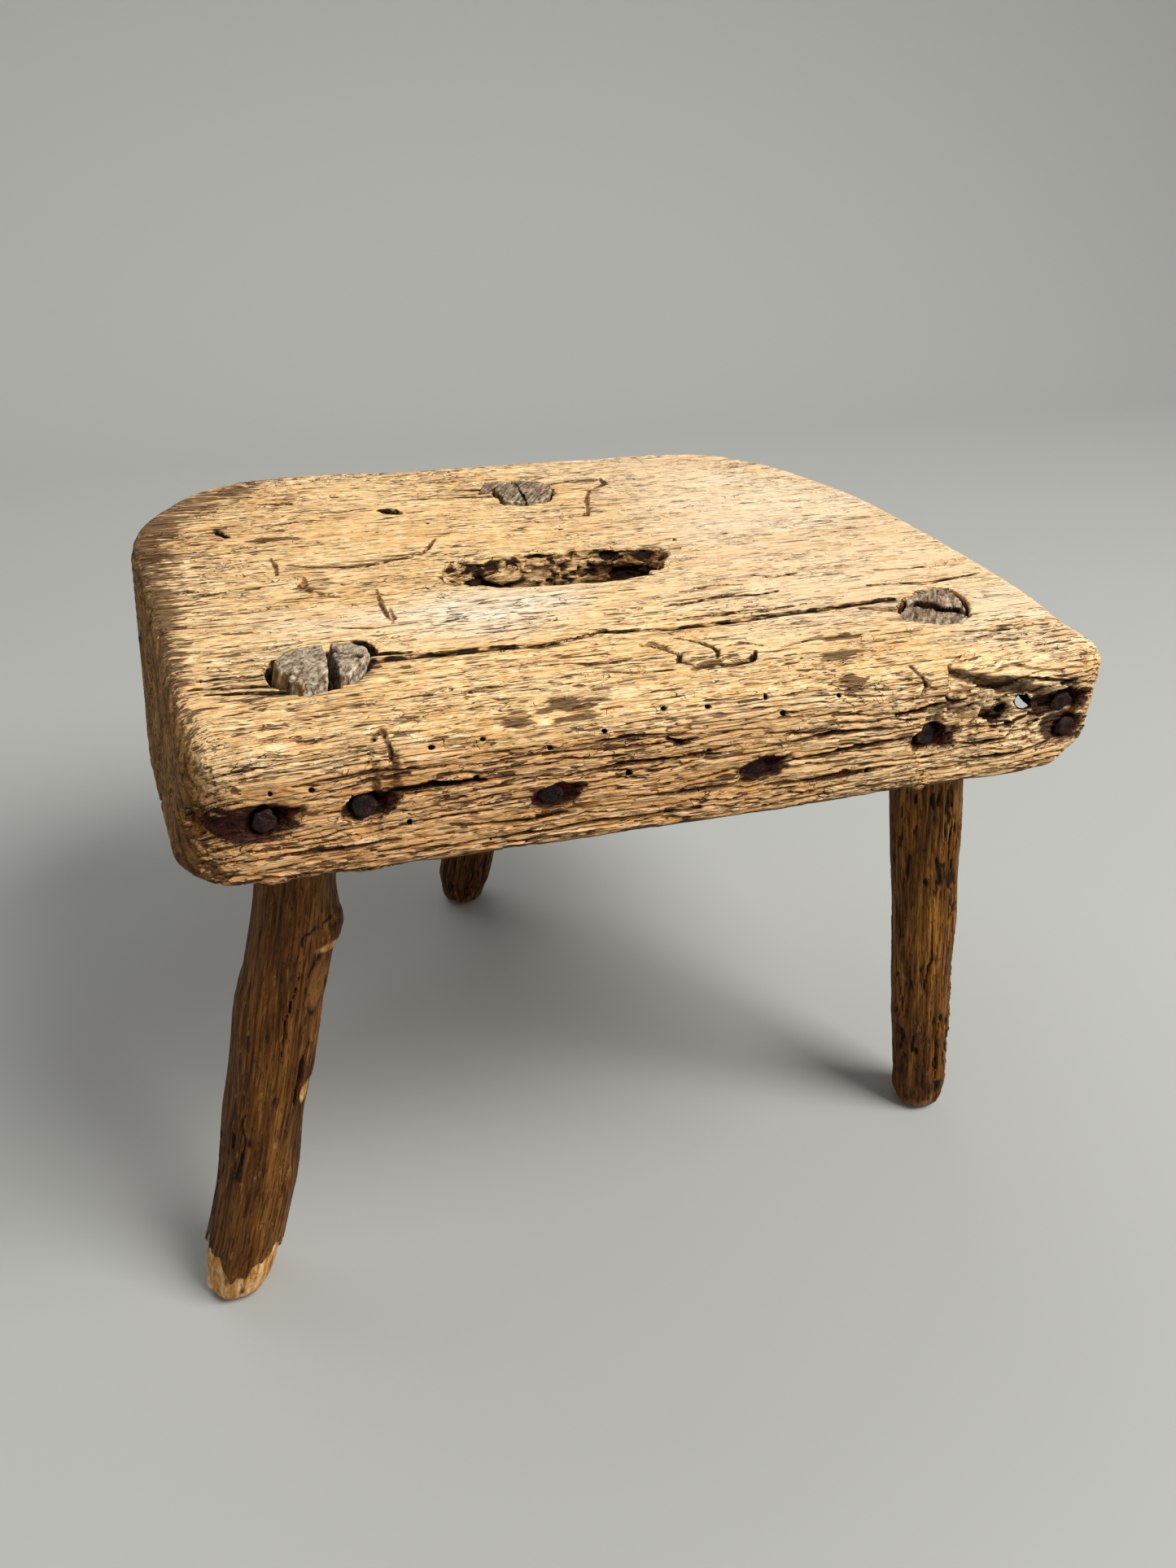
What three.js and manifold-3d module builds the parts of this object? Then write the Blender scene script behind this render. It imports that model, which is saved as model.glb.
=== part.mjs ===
// An old three-legged milking stool: a thick plank seat with a hand slot, three splayed stick legs
// whose tenons come up through the seat, the wedges and shims that tighten them, and the iron nails
// left in the edges. Millimetres, +Z up. The bench frame used while building has x along the seat's
// front edge, y towards the back and z = 0 on the floor; the finished group is then moved so that its
// origin is the middle of its footprint, on the floor.
import * as THREE from 'three';
import { mergeVertices } from 'three/addons/utils/BufferGeometryUtils.js';
import Module from 'manifold-3d';

const wasm = await Module();
wasm.setup();

// ---- Driving dimensions ----------------------------------------------------------------------
const SEAT_HEIGHT = 285; // floor to the seat's top face
const SLAB = { thickness: 53, arris: 8, arrisSteps: 3 };
const LEFT_END_SLOPE = 10; // how far the left end leans back from its middle up to the top face
const SLOT = { x: 166, y: 139, length: 106, width: 38, cornerRadius: 14 };
const GAP = 0.3; // clearance between pieces that touch
const OVERRUN = 20; // how far a cutting tool reaches past the face it cuts

// Each leg: the middle of its tenon on the seat's top face, how far it splays sideways and to the
// back for each millimetre down, its radii from foot to tenon, and how its tenon is split.
const LEGS = {
  front_left: {
    tenon: { x: 50, y: 57, radius: 15.2, proud: 5 },
    splay: { x: -0.238, y: -0.108 },
    radii: { foot: 13.8, shin: 15.2, calf: 16.8, knee: 15.6 },
    bow: 4,
    kerf: { angle: 90, offset: 3.5, top: 3.6, bottom: 1.4, depth: 32 },
  },
  front_right: {
    tenon: { x: 307.5, y: 55, radius: 14.8, proud: -1 },
    splay: { x: 0.126, y: -0.056 },
    radii: { foot: 11.2, shin: 13.2, calf: 14.4, knee: 15.1 },
    bow: 0,
    kerf: { angle: -39, offset: 5, top: 3.6, bottom: 1.6, depth: 26 },
  },
  rear: {
    tenon: { x: 178, y: 249, radius: 15.5, proud: 3 },
    splay: { x: -0.108, y: 0.138 },
    radii: { foot: 15.4, shin: 16.2, calf: 16.2, knee: 16 },
    bow: 1.5,
    kerf: { angle: 90, offset: -2, top: 2.2, bottom: 1.4, depth: 30 },
  },
};

// A wedge sits in its tenon's kerf, its top this far below the tenon's end.
const WEDGES = {
  front_left: { sunk: 8, length: 24 },
  rear: { sunk: 1.5, length: 26 },
};

// A shim is a sliver driven down beside a tenon: its middle on the seat's top face, its size across
// and along, its turn in degrees, how deep it goes and how far it stands up.
const SHIMS = {
  rear: { x: 163.5, y: 260, width: 9, length: 19, turn: -22, depth: 26, proud: 0.6 },
  front_right: { x: 323, y: 47, width: 4.5, length: 9, turn: 28, depth: 20, proud: 0 },
};

const NAIL = { headRadius: 5.4, headHeight: 2.4, sunk: 1.2, shankRadius: 2, length: 36, tip: 7 };
// Nails along the front edge: how far from the left corner, and how far below the top face.
const FRONT_NAILS = [
  { x: 21, drop: 26.5 },
  { x: 54.7, drop: 26 },
  { x: 121.4, drop: 32.3 },
  { x: 202.7, drop: 32.3 },
  { x: 276.2, drop: 30 },
  { x: 339, drop: 23.5 },
  { x: 344, drop: 35.5 },
];
const LEFT_NAIL = { x: -18.2, y: 155, drop: 25 };
// An empty nail hole at the right corner, slanting from the front face out through the underside.
const EMPTY_HOLE = { radius: 2.6, from: { x: 318, drop: 20 }, to: { x: 349, y: 37, drop: SLAB.thickness } };

const ROUND_STEPS = 28;
const NAIL_STEPS = 14;

// ---- Materials -------------------------------------------------------------------------------
const wood = (color, roughness) => new THREE.MeshStandardMaterial({ color, roughness, metalness: 0 });
const seatWood = () => wood('#c9a56c', 0.72);
const legWood = () => wood('#5d412a', 0.62);
const wedgeWood = () => wood('#7b6854', 0.8);
const shimWood = () => wood('#6b5946', 0.85);
const rustyIron = () => {
  const finish = { color: '#2f211d', roughness: 0.78, metalness: 0.35 };
  return new THREE.MeshStandardMaterial(finish);
};

// ---- Solids ----------------------------------------------------------------------------------
// A closed triangle mesh with shared corners becomes a solid that can be cut and joined.
function toSolid(geometry) {
  const bare = geometry.clone();
  bare.deleteAttribute('normal');
  bare.deleteAttribute('uv');
  const merged = mergeVertices(bare, 1e-4);
  const corners = merged.index.array;
  const kept = [];
  for (let i = 0; i < corners.length; i += 3) {
    const [a, b, c] = [corners[i], corners[i + 1], corners[i + 2]];
    if (a !== b && b !== c && c !== a) kept.push(a, b, c);
  }
  return new wasm.Manifold(new wasm.Mesh({
    numProp: 3,
    vertProperties: new Float32Array(merged.attributes.position.array),
    triVerts: new Uint32Array(kept),
  }));
}

function toGeometry(solid) {
  const { vertProperties, triVerts } = solid.getMesh();
  const geometry = new THREE.BufferGeometry();
  geometry.setAttribute('position', new THREE.BufferAttribute(new Float32Array(vertProperties), 3));
  geometry.setIndex(new THREE.BufferAttribute(new Uint32Array(triVerts), 1));
  geometry.computeVertexNormals();
  return geometry;
}

function namedMesh(name, geometry, material) {
  const mesh = new THREE.Mesh(geometry, material);
  mesh.name = name;
  return mesh;
}

// A solid turned about the z axis from a profile of [radius, height] points.
function turned(profile, steps) {
  const points = profile.map(([radius, height]) => new THREE.Vector2(radius, height));
  return new THREE.LatheGeometry(points, steps).rotateX(Math.PI / 2);
}

// A plain round rod along z, used as a drill or a reamer.
function rod(radius, low, high, steps = ROUND_STEPS) {
  return turned([[0, low], [radius, low], [radius, high], [0, high]], steps);
}

// ---- The seat plank --------------------------------------------------------------------------
// Straight along the front, nearly square at the front corners, widely rounded at the back ones.
function seatOutline() {
  const front = 0;
  const right = 361;
  const back = 305;
  const left = -18;
  const through = (points) => points.map(([x, y]) => new THREE.Vector2(x, y));
  const backRight = [
    [right - 8, 207], [right - 20, 246], [right - 36, 276], [right - 56, 295], [272, back - 2],
  ];
  const backLeft = [
    [left + 54, back - 4], [left + 31, back - 18], [left + 15, 265], [left + 3, 238], [left - 2, 210],
  ];
  const outline = new THREE.Shape();
  outline.moveTo(16, front);
  outline.lineTo(342, front - 3);
  outline.quadraticCurveTo(right - 1, front - 3, right, 14);
  outline.lineTo(right, 100);
  outline.lineTo(right - 3, 160);
  outline.splineThru(through(backRight));
  outline.lineTo(66, back);
  outline.splineThru(through(backLeft));
  outline.lineTo(left + 2, 90);
  outline.lineTo(left + 8, 20);
  outline.quadraticCurveTo(left + 12, front, 16, front);
  return outline;
}

function slotTool() {
  const { x, y, length, width, cornerRadius: r } = SLOT;
  const [x0, x1, y0, y1] = [x - length / 2, x + length / 2, y - width / 2, y + width / 2];
  const outline = new THREE.Shape();
  outline.moveTo(x0 + r, y0);
  outline.lineTo(x1 - r, y0);
  outline.absarc(x1 - r, y0 + r, r, -Math.PI / 2, 0);
  outline.lineTo(x1, y1 - r);
  outline.absarc(x1 - r, y1 - r, r, 0, Math.PI / 2);
  outline.lineTo(x0 + r, y1);
  outline.absarc(x0 + r, y1 - r, r, Math.PI / 2, Math.PI);
  outline.lineTo(x0, y0 + r);
  outline.absarc(x0 + r, y0 + r, r, Math.PI, 1.5 * Math.PI);
  const depth = SLAB.thickness + 2 * OVERRUN;
  return new THREE.ExtrudeGeometry(outline, { depth, bevelEnabled: false, curveSegments: 6 })
    .translate(0, 0, SEAT_HEIGHT - SLAB.thickness - OVERRUN);
}

// The left end is worn back towards the top: its upper half leans in, most at the front.
function leanLeftEnd(geometry) {
  const position = geometry.attributes.position;
  const middle = SEAT_HEIGHT - SLAB.thickness / 2;
  for (let i = 0; i < position.count; i += 1) {
    const nearEnd = 1 - THREE.MathUtils.smoothstep(position.getX(i), -20, 60);
    const nearFront = 1 - THREE.MathUtils.smoothstep(position.getY(i), 120, 270);
    const nearTop = THREE.MathUtils.smoothstep(position.getZ(i), middle, SEAT_HEIGHT);
    position.setX(i, position.getX(i) + LEFT_END_SLOPE * nearEnd * nearFront * nearTop);
  }
  return geometry;
}

function plank() {
  const { thickness, arris, arrisSteps } = SLAB;
  const geometry = new THREE.ExtrudeGeometry(seatOutline(), {
    depth: thickness - 2 * arris,
    bevelThickness: arris,
    bevelSize: arris,
    bevelOffset: -arris,
    bevelSegments: arrisSteps,
    curveSegments: 9,
  });
  return leanLeftEnd(geometry.translate(0, 0, SEAT_HEIGHT - thickness + arris));
}

function emptyHoleTool() {
  const { radius, from, to } = EMPTY_HOLE;
  const start = new THREE.Vector3(from.x, 0, SEAT_HEIGHT - from.drop);
  const end = new THREE.Vector3(to.x, to.y, SEAT_HEIGHT - to.drop);
  const along = end.clone().sub(start);
  const up = new THREE.Vector3(0, 0, 1);
  const turn = new THREE.Quaternion().setFromUnitVectors(up, along.clone().normalize());
  return rod(radius, -OVERRUN, along.length() + OVERRUN, NAIL_STEPS)
    .applyQuaternion(turn)
    .translate(start.x, start.y, start.z);
}

function seatSlab() {
  const tools = [slotTool(), emptyHoleTool()];
  for (const leg of Object.values(LEGS)) tools.push(mortiseTool(leg));
  for (const shim of Object.values(SHIMS)) tools.push(shimBlock(shim, GAP));
  for (const nail of nailPlaces()) tools.push(placed(nailSocket(), nail));
  let solid = toSolid(plank());
  for (const tool of tools) solid = solid.subtract(toSolid(tool));
  return namedMesh('seat_slab', toGeometry(solid), seatWood());
}

// ---- Legs ------------------------------------------------------------------------------------
// Where a leg's centre line meets the floor, and the turn that tips it up along its splay.
function legPlace({ tenon, splay }) {
  const position = new THREE.Vector3(
    tenon.x + splay.x * SEAT_HEIGHT,
    tenon.y + splay.y * SEAT_HEIGHT,
    0,
  );
  const along = new THREE.Vector3(-splay.x, -splay.y, 1).normalize();
  const quaternion = new THREE.Quaternion().setFromUnitVectors(new THREE.Vector3(0, 0, 1), along);
  return { position, quaternion, stretch: Math.hypot(splay.x, splay.y, 1) };
}

function placed(geometry, { position, quaternion }) {
  const unscaled = new THREE.Vector3(1, 1, 1);
  return geometry.applyMatrix4(new THREE.Matrix4().compose(position, quaternion, unscaled));
}

// The mortise is bored right through the plank along the leg's own centre line.
function mortiseTool(leg) {
  const { position, quaternion, stretch } = legPlace(leg);
  const low = (SEAT_HEIGHT - SLAB.thickness - OVERRUN) * stretch;
  const high = (SEAT_HEIGHT + OVERRUN) * stretch;
  return placed(rod(leg.tenon.radius + GAP, low, high), { position, quaternion });
}

// Foot to tenon: a rounded foot, a stick that swells up the shank, a shaved neck, then the tenon.
function legProfile({ tenon, radii, splay }) {
  const { stretch } = legPlace({ tenon, splay });
  const neck = (SEAT_HEIGHT - SLAB.thickness) * stretch - 8;
  const end = (SEAT_HEIGHT + OVERRUN) * stretch;
  return [
    [0, -5],
    [radii.foot * 0.45, -4],
    [radii.foot * 0.84, 3],
    [radii.foot, 12],
    [radii.foot + 0.5, 28],
    [radii.shin, neck * 0.34],
    [(radii.shin + radii.calf) / 2, neck * 0.5],
    [radii.calf, neck * 0.66],
    [radii.knee, neck * 0.84],
    [radii.knee - 0.3, neck * 0.93],
    [tenon.radius, neck],
    [tenon.radius, end],
    [0, end],
  ];
}

// A stick is never quite straight: the shank below the neck swings sideways in one slow curve.
function bend(geometry, bow, length) {
  const position = geometry.attributes.position;
  for (let i = 0; i < position.count; i += 1) {
    const share = THREE.MathUtils.clamp(position.getZ(i) / length, 0, 1);
    position.setX(i, position.getX(i) + bow * Math.sin(Math.PI * share));
  }
  return geometry;
}

// The split down a tenon: open at the top, narrowing as it goes down, cut right across.
function kerfBlock({ top, bottom, depth }, across, above, narrower) {
  const section = new THREE.Shape();
  const flare = (top - bottom) / depth;
  section.moveTo(-bottom / 2 + narrower, -depth);
  section.lineTo(bottom / 2 - narrower, -depth);
  section.lineTo(top / 2 - narrower + flare * above / 2, above);
  section.lineTo(-top / 2 + narrower - flare * above / 2, above);
  return new THREE.ExtrudeGeometry(section, { depth: across, bevelEnabled: false })
    .translate(0, 0, -across / 2)
    .rotateX(Math.PI / 2);
}

// Kerfs and wedges are placed on the leg's centre line, at the tenon's end, turned about z.
function intoTenon(geometry, { tenon, kerf, splay }) {
  const { position, quaternion, stretch } = legPlace({ tenon, splay });
  geometry.translate(kerf.offset, 0, 0);
  geometry.rotateZ(THREE.MathUtils.degToRad(kerf.angle - 90));
  geometry.translate(0, 0, (SEAT_HEIGHT + tenon.proud) * stretch);
  return placed(geometry, { position, quaternion });
}

function slabOfSpace(low, high) {
  const size = 1000;
  return new THREE.BoxGeometry(size, size, high - low).translate(0, 0, (low + high) / 2);
}

function legMesh(name, leg) {
  const place = legPlace(leg);
  const neck = (SEAT_HEIGHT - SLAB.thickness) * place.stretch - 8;
  const stick = placed(bend(turned(legProfile(leg), ROUND_STEPS), leg.bow, neck), place);
  const topCut = slabOfSpace(SEAT_HEIGHT + leg.tenon.proud, SEAT_HEIGHT + 4 * OVERRUN);
  const floorCut = slabOfSpace(-OVERRUN, 0);
  const kerf = intoTenon(kerfBlock(leg.kerf, 3 * leg.tenon.radius, OVERRUN, 0), leg);
  const solid = toSolid(stick)
    .subtract(toSolid(topCut))
    .subtract(toSolid(floorCut))
    .subtract(toSolid(kerf));
  // The geometry goes back into the leg's own frame, so the mesh carries the leg's place and tilt.
  const toOwnFrame = new THREE.Matrix4()
    .compose(place.position, place.quaternion, new THREE.Vector3(1, 1, 1))
    .invert();
  const mesh = namedMesh(name, toGeometry(solid).applyMatrix4(toOwnFrame), legWood());
  mesh.position.copy(place.position);
  mesh.quaternion.copy(place.quaternion);
  return mesh;
}

// ---- Wedges and shims ------------------------------------------------------------------------
function wedgeMesh(name, leg, { sunk, length }) {
  const seated = { ...leg.kerf };
  const flare = (seated.top - seated.bottom) / seated.depth;
  seated.top -= flare * sunk;
  seated.depth -= sunk + 1;
  seated.bottom += flare;
  const block = kerfBlock(seated, length, 0, GAP).translate(0, 0, -sunk);
  return namedMesh(name, intoTenon(block, leg), wedgeWood());
}

function shimBlock({ x, y, width, length, turn, depth, proud }, extra) {
  const height = depth + proud + (extra > 0 ? OVERRUN : 0);
  return new THREE.BoxGeometry(width + 2 * extra, length + 2 * extra, height + extra)
    .translate(0, 0, (height - extra) / 2 - depth)
    .rotateZ(THREE.MathUtils.degToRad(turn))
    .translate(x, y, SEAT_HEIGHT);
}

// A shim is hollowed where the tenon passes it.
function shimMesh(name, shim, leg) {
  const solid = toSolid(shimBlock(shim, 0)).subtract(toSolid(mortiseTool(leg)));
  return namedMesh(name, toGeometry(solid), shimWood());
}

// ---- Nails -----------------------------------------------------------------------------------
// A nail's own frame has its head's underside at z = 0 and its point at the negative end.
function nailGeometry() {
  const { headRadius: r, headHeight: h, shankRadius: s, length, tip } = NAIL;
  return turned([
    [0, -length],
    [s, tip - length],
    [s, 0],
    [r * 0.93, 0],
    [r, h * 0.3],
    [r * 0.8, h * 0.75],
    [r * 0.4, h],
    [0, h],
  ], NAIL_STEPS);
}

function nailSocket() {
  const { headRadius, shankRadius, length } = NAIL;
  return turned([
    [0, -length - GAP],
    [shankRadius + GAP, -length - GAP],
    [shankRadius + GAP, -GAP],
    [headRadius + GAP, -GAP],
    [headRadius + GAP, OVERRUN],
    [0, OVERRUN],
  ], NAIL_STEPS);
}

function nailPlaces() {
  const facingFront = new THREE.Quaternion().setFromEuler(new THREE.Euler(Math.PI / 2, 0, 0));
  const facingLeft = new THREE.Quaternion().setFromEuler(new THREE.Euler(0, -Math.PI / 2, 0));
  const places = FRONT_NAILS.map(({ x, drop }, index) => ({
    name: `nail_front_${index + 1}`,
    position: new THREE.Vector3(x, NAIL.sunk, SEAT_HEIGHT - drop),
    quaternion: facingFront,
  }));
  places.push({
    name: 'nail_left_end',
    position: new THREE.Vector3(LEFT_NAIL.x + NAIL.sunk, LEFT_NAIL.y, SEAT_HEIGHT - LEFT_NAIL.drop),
    quaternion: facingLeft,
  });
  return places;
}

function nailMesh(place) {
  const mesh = namedMesh(place.name, nailGeometry(), rustyIron());
  mesh.position.copy(place.position);
  mesh.quaternion.copy(place.quaternion);
  return mesh;
}

// ---- The stool -------------------------------------------------------------------------------
const bench = new THREE.Group();
bench.add(seatSlab());
for (const [side, leg] of Object.entries(LEGS)) bench.add(legMesh(`leg_${side}`, leg));
for (const [side, wedge] of Object.entries(WEDGES)) {
  bench.add(wedgeMesh(`wedge_${side}`, LEGS[side], wedge));
}
for (const [side, shim] of Object.entries(SHIMS)) bench.add(shimMesh(`shim_${side}`, shim, LEGS[side]));
for (const place of nailPlaces()) bench.add(nailMesh(place));

bench.updateMatrixWorld(true);
const footprint = new THREE.Box3().setFromObject(bench, true);
const middle = footprint.getCenter(new THREE.Vector3());
bench.position.set(-middle.x, -middle.y, -footprint.min.z);

const stool = new THREE.Group();
stool.add(bench);

export default stool;
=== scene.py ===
"""An old three-legged milking stool: a worn plank seat with a hand slot, and three stick legs.

Every piece is carved the same way. A block of space is filled with signed distances (negative is
wood), tools are cut from it, and its surface becomes the piece's mesh. Lengths are millimetres in
the bench frame while carving: x along the seat's front edge from its left corner, y towards the
back, z up from the floor. They become metres in the row frame when the mesh is made.
"""
import functools
import itertools
import math

import bpy
import numpy as np
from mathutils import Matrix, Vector
from mathutils.bvhtree import BVHTree


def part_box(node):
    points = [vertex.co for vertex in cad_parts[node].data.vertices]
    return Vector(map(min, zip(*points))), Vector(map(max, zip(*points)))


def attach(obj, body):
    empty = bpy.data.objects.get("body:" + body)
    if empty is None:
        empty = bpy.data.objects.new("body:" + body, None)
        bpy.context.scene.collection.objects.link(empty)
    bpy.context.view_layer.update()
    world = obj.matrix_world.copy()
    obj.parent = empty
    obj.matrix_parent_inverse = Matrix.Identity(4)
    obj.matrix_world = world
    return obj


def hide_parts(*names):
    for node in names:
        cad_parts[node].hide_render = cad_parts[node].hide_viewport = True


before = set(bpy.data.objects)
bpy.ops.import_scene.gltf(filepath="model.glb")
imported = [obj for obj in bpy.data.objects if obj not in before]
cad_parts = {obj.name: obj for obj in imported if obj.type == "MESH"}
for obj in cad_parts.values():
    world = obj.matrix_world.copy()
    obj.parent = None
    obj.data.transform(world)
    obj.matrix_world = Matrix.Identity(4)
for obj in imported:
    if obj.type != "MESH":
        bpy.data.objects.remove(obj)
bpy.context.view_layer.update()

# ---- Frame -------------------------------------------------------------------------------------
MM = 1000.0
LEFT_BULGE = 20.0  # the seat's left end reaches this far out from the front left corner
FRONT_BULGE = 3.0  # and its front edge this far forward
SEAT_LOW, SEAT_HIGH = (np.array(corner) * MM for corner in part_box("seat_slab"))
ORIGIN = np.array([SEAT_LOW[0] + LEFT_BULGE, SEAT_LOW[1] + FRONT_BULGE, 0.0])
TOP = SEAT_HIGH[2]
BOTTOM = SEAT_LOW[2]
WIDE = SEAT_HIGH[0] - ORIGIN[0]
DEEP = SEAT_HIGH[1] - ORIGIN[1]
COARSE = 1.0


def cad_points(node):
    """The corners of a CAD node in the bench frame."""
    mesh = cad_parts[node].data
    points = np.empty(len(mesh.vertices) * 3)
    mesh.vertices.foreach_get("co", points)
    return points.reshape(-1, 3) * MM - ORIGIN


def cad_triangles(node):
    """The triangles of a CAD node, three corner numbers in each row."""
    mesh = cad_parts[node].data
    mesh.calc_loop_triangles()
    index = np.empty(len(mesh.loop_triangles) * 3, int)
    mesh.loop_triangles.foreach_get("vertices", index)
    return index.reshape(-1, 3)


def cad_rings(node, height):
    """The closed outlines that a level plane cuts through a CAD node, the widest first."""
    points, same = np.unique(cad_points(node), axis=0, return_inverse=True)
    triangles = same.reshape(-1)[cad_triangles(node)]
    above = points[:, 2] > height
    mixed = above[triangles].sum(1) % 3 > 0
    links = {}
    for triangle in triangles[mixed]:
        edges = []
        for a, b in ((0, 1), (1, 2), (2, 0)):
            p, q = int(triangle[a]), int(triangle[b])
            if above[p] != above[q]:
                edges.append((min(p, q), max(p, q)))
        links.setdefault(edges[0], []).append(edges[1])
        links.setdefault(edges[1], []).append(edges[0])
    rings = []
    while links:
        edge, following = next(iter(links.items()))
        ring = []
        while edge in links:
            following = links.pop(edge)
            p, q = points[edge[0]], points[edge[1]]
            ring.append((p + (height - p[2]) / (q[2] - p[2]) * (q - p))[:2])
            edge = following[0] if following[0] in links else following[-1]
        rings.append(np.array(ring))
    return sorted(rings, key=lambda ring: -np.ptp(ring[:, 0]))


# ---- Noise -------------------------------------------------------------------------------------
def hashed(i, j, k, seed):
    """A repeatable value in 0..1 for each whole-number cell."""
    h = i.astype(np.int64).astype(np.uint32) * np.uint32(0x8DA6B343)
    h = h ^ (j.astype(np.int64).astype(np.uint32) * np.uint32(0xD8163841))
    h = h ^ (k.astype(np.int64).astype(np.uint32) * np.uint32(0xCB1AB31F))
    h = h ^ np.uint32((seed * 0x9E3779B1) & 0xFFFFFFFF)
    h = (h ^ (h >> np.uint32(15))) * np.uint32(0x2C1B3C6D)
    h = (h ^ (h >> np.uint32(12))) * np.uint32(0x297A2D39)
    h = h ^ (h >> np.uint32(15))
    return h.astype(np.float32) / np.float32(0xFFFFFFFF)


def noise(x, y, z, seed, octaves=1):
    """Smooth noise in about -1..1 with one feature per unit of length, finer with each octave."""
    total = 0.0
    weight = 1.0
    whole = 0.0
    x, y, z = (np.asarray(v, np.float32) for v in (x, y, z))
    for octave in range(octaves):
        cells = [np.floor(v) for v in (x, y, z)]
        parts = [v - c for v, c in zip((x, y, z), cells)]
        parts = [t * t * (3 - 2 * t) for t in parts]
        value = 0.0
        for a in (0, 1):
            wa = parts[0] if a else 1 - parts[0]
            for b in (0, 1):
                wab = wa * (parts[1] if b else 1 - parts[1])
                for c in (0, 1):
                    w = wab * (parts[2] if c else 1 - parts[2])
                    value = value + w * hashed(cells[0] + a, cells[1] + b, cells[2] + c, seed + octave)
        total = total + weight * (2 * value - 1)
        whole += weight
        weight *= 0.5
        x, y, z = 2 * x + 5.3, 2 * y + 1.7, 2 * z + 9.1
    return total / whole


def facets(u, v, size, seed):
    """A broken surface of tilted planes with sharp edges between them, in about -1..1."""
    u, v = u / size, v / size
    nearest = None
    for i, j in itertools.product((-1, 0, 1), repeat=2):
        a, b = np.floor(u) + i, np.floor(v) + j
        chance = [hashed(a, b, 0 * a, seed + k) for k in range(5)]
        away_u = u - a - chance[0]
        away_v = v - b - chance[1]
        far = away_u ** 2 + away_v ** 2
        tilt = (chance[2] - 0.5) * away_u + (chance[3] - 0.5) * away_v
        value = 2 * chance[4] - 1 + 2.4 * tilt
        if nearest is None:
            nearest, level = far, value
        else:
            level = np.where(far < nearest, value, level)
            nearest = np.minimum(nearest, far)
    return level


def ramp(value, low, high):
    """0 below low, 1 above high, smooth between; the other way round when low is above high."""
    t = np.clip((value - low) / (high - low), 0, 1)
    return t * t * (3 - 2 * t)


# ---- Blocks of space ---------------------------------------------------------------------------
class Block:
    """A box of space sampled on a regular grid; the field is negative inside the piece."""

    def __init__(self, low, high, step):
        self.step = np.array(step, float)
        self.low = np.array(low, float)
        count = np.ceil((np.array(high, float) - self.low) / self.step).astype(int) + 1
        self.axes = [self.low[i] + self.step[i] * np.arange(count[i]) for i in range(3)]
        self.field = np.full(count, 1e3, np.float32)

    def grid(self, spans=(slice(None),) * 3):
        x, y, z = (axis[span] for axis, span in zip(self.axes, spans))
        return x[:, None, None], y[None, :, None], z[None, None, :]

    def spans(self, low, high):
        """The samples between two corners."""
        return tuple(
            slice(int(np.searchsorted(axis, a)), int(np.searchsorted(axis, b)) + 1)
            for axis, a, b in zip(self.axes, low, high)
        )

    def cut(self, low, high, tool):
        """Cuts away what tool(x, y, z, spans) makes negative, between two corners."""
        spans = self.spans(low, high)
        view = self.field[spans]
        if view.size:
            view[...] = np.maximum(view, -tool(*self.grid(spans), spans))

    def surface(self):
        """The field's zero surface: points and four-cornered faces, one point in each mixed cell."""
        field = self.field
        inside = field < 0
        count = np.zeros(np.array(field.shape) - 1, np.uint8)
        for corner in itertools.product((slice(None, -1), slice(1, None)), repeat=3):
            count += inside[corner]
        cells = np.argwhere((count > 0) & (count < 8)).astype(np.int32)
        ids = np.full(count.shape, -1, np.int32)
        ids[tuple(cells.T)] = np.arange(len(cells), dtype=np.int32)
        total = np.zeros((len(cells), 3))
        hits = np.zeros(len(cells))
        for axis in range(3):
            others = [i for i in range(3) if i != axis]
            for sides in itertools.product((0, 1), repeat=2):
                start = np.zeros(3, np.int32)
                start[others] = sides
                end = start.copy()
                end[axis] = 1
                f0 = field[tuple((cells + start).T)]
                f1 = field[tuple((cells + end).T)]
                crossing = (f0 < 0) != (f1 < 0)
                place = np.repeat(start[None, :].astype(float), len(cells), 0)
                place[:, axis] = f0 / np.where(crossing, f0 - f1, 1)
                total += np.where(crossing[:, None], place, 0)
                hits += crossing
        points = self.low + (cells + total / hits[:, None]) * self.step
        return points, self.faces(inside, ids)

    @staticmethod
    def faces(inside, ids):
        """A face round every grid edge that passes through the surface."""
        faces = []
        for axis in range(3):
            b, c = ((1, 2), (2, 0), (0, 1))[axis]
            low = [slice(1, -1)] * 3
            high = [slice(1, -1)] * 3
            low[axis] = slice(None, -1)
            high[axis] = slice(1, None)
            changed = inside[tuple(low)] != inside[tuple(high)]
            at = np.argwhere(changed)
            outward = inside[tuple(low)][tuple(at.T)]
            at[:, b] += 1
            at[:, c] += 1
            ring = []
            for db, dc in ((1, 1), (0, 1), (0, 0), (1, 0)):
                cell = at.copy()
                cell[:, b] -= db
                cell[:, c] -= dc
                ring.append(ids[tuple(cell.T)])
            ring = np.stack(ring, 1)
            faces.append(np.where(outward[:, None], ring, ring[:, ::-1]))
        return np.concatenate(faces)


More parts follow.
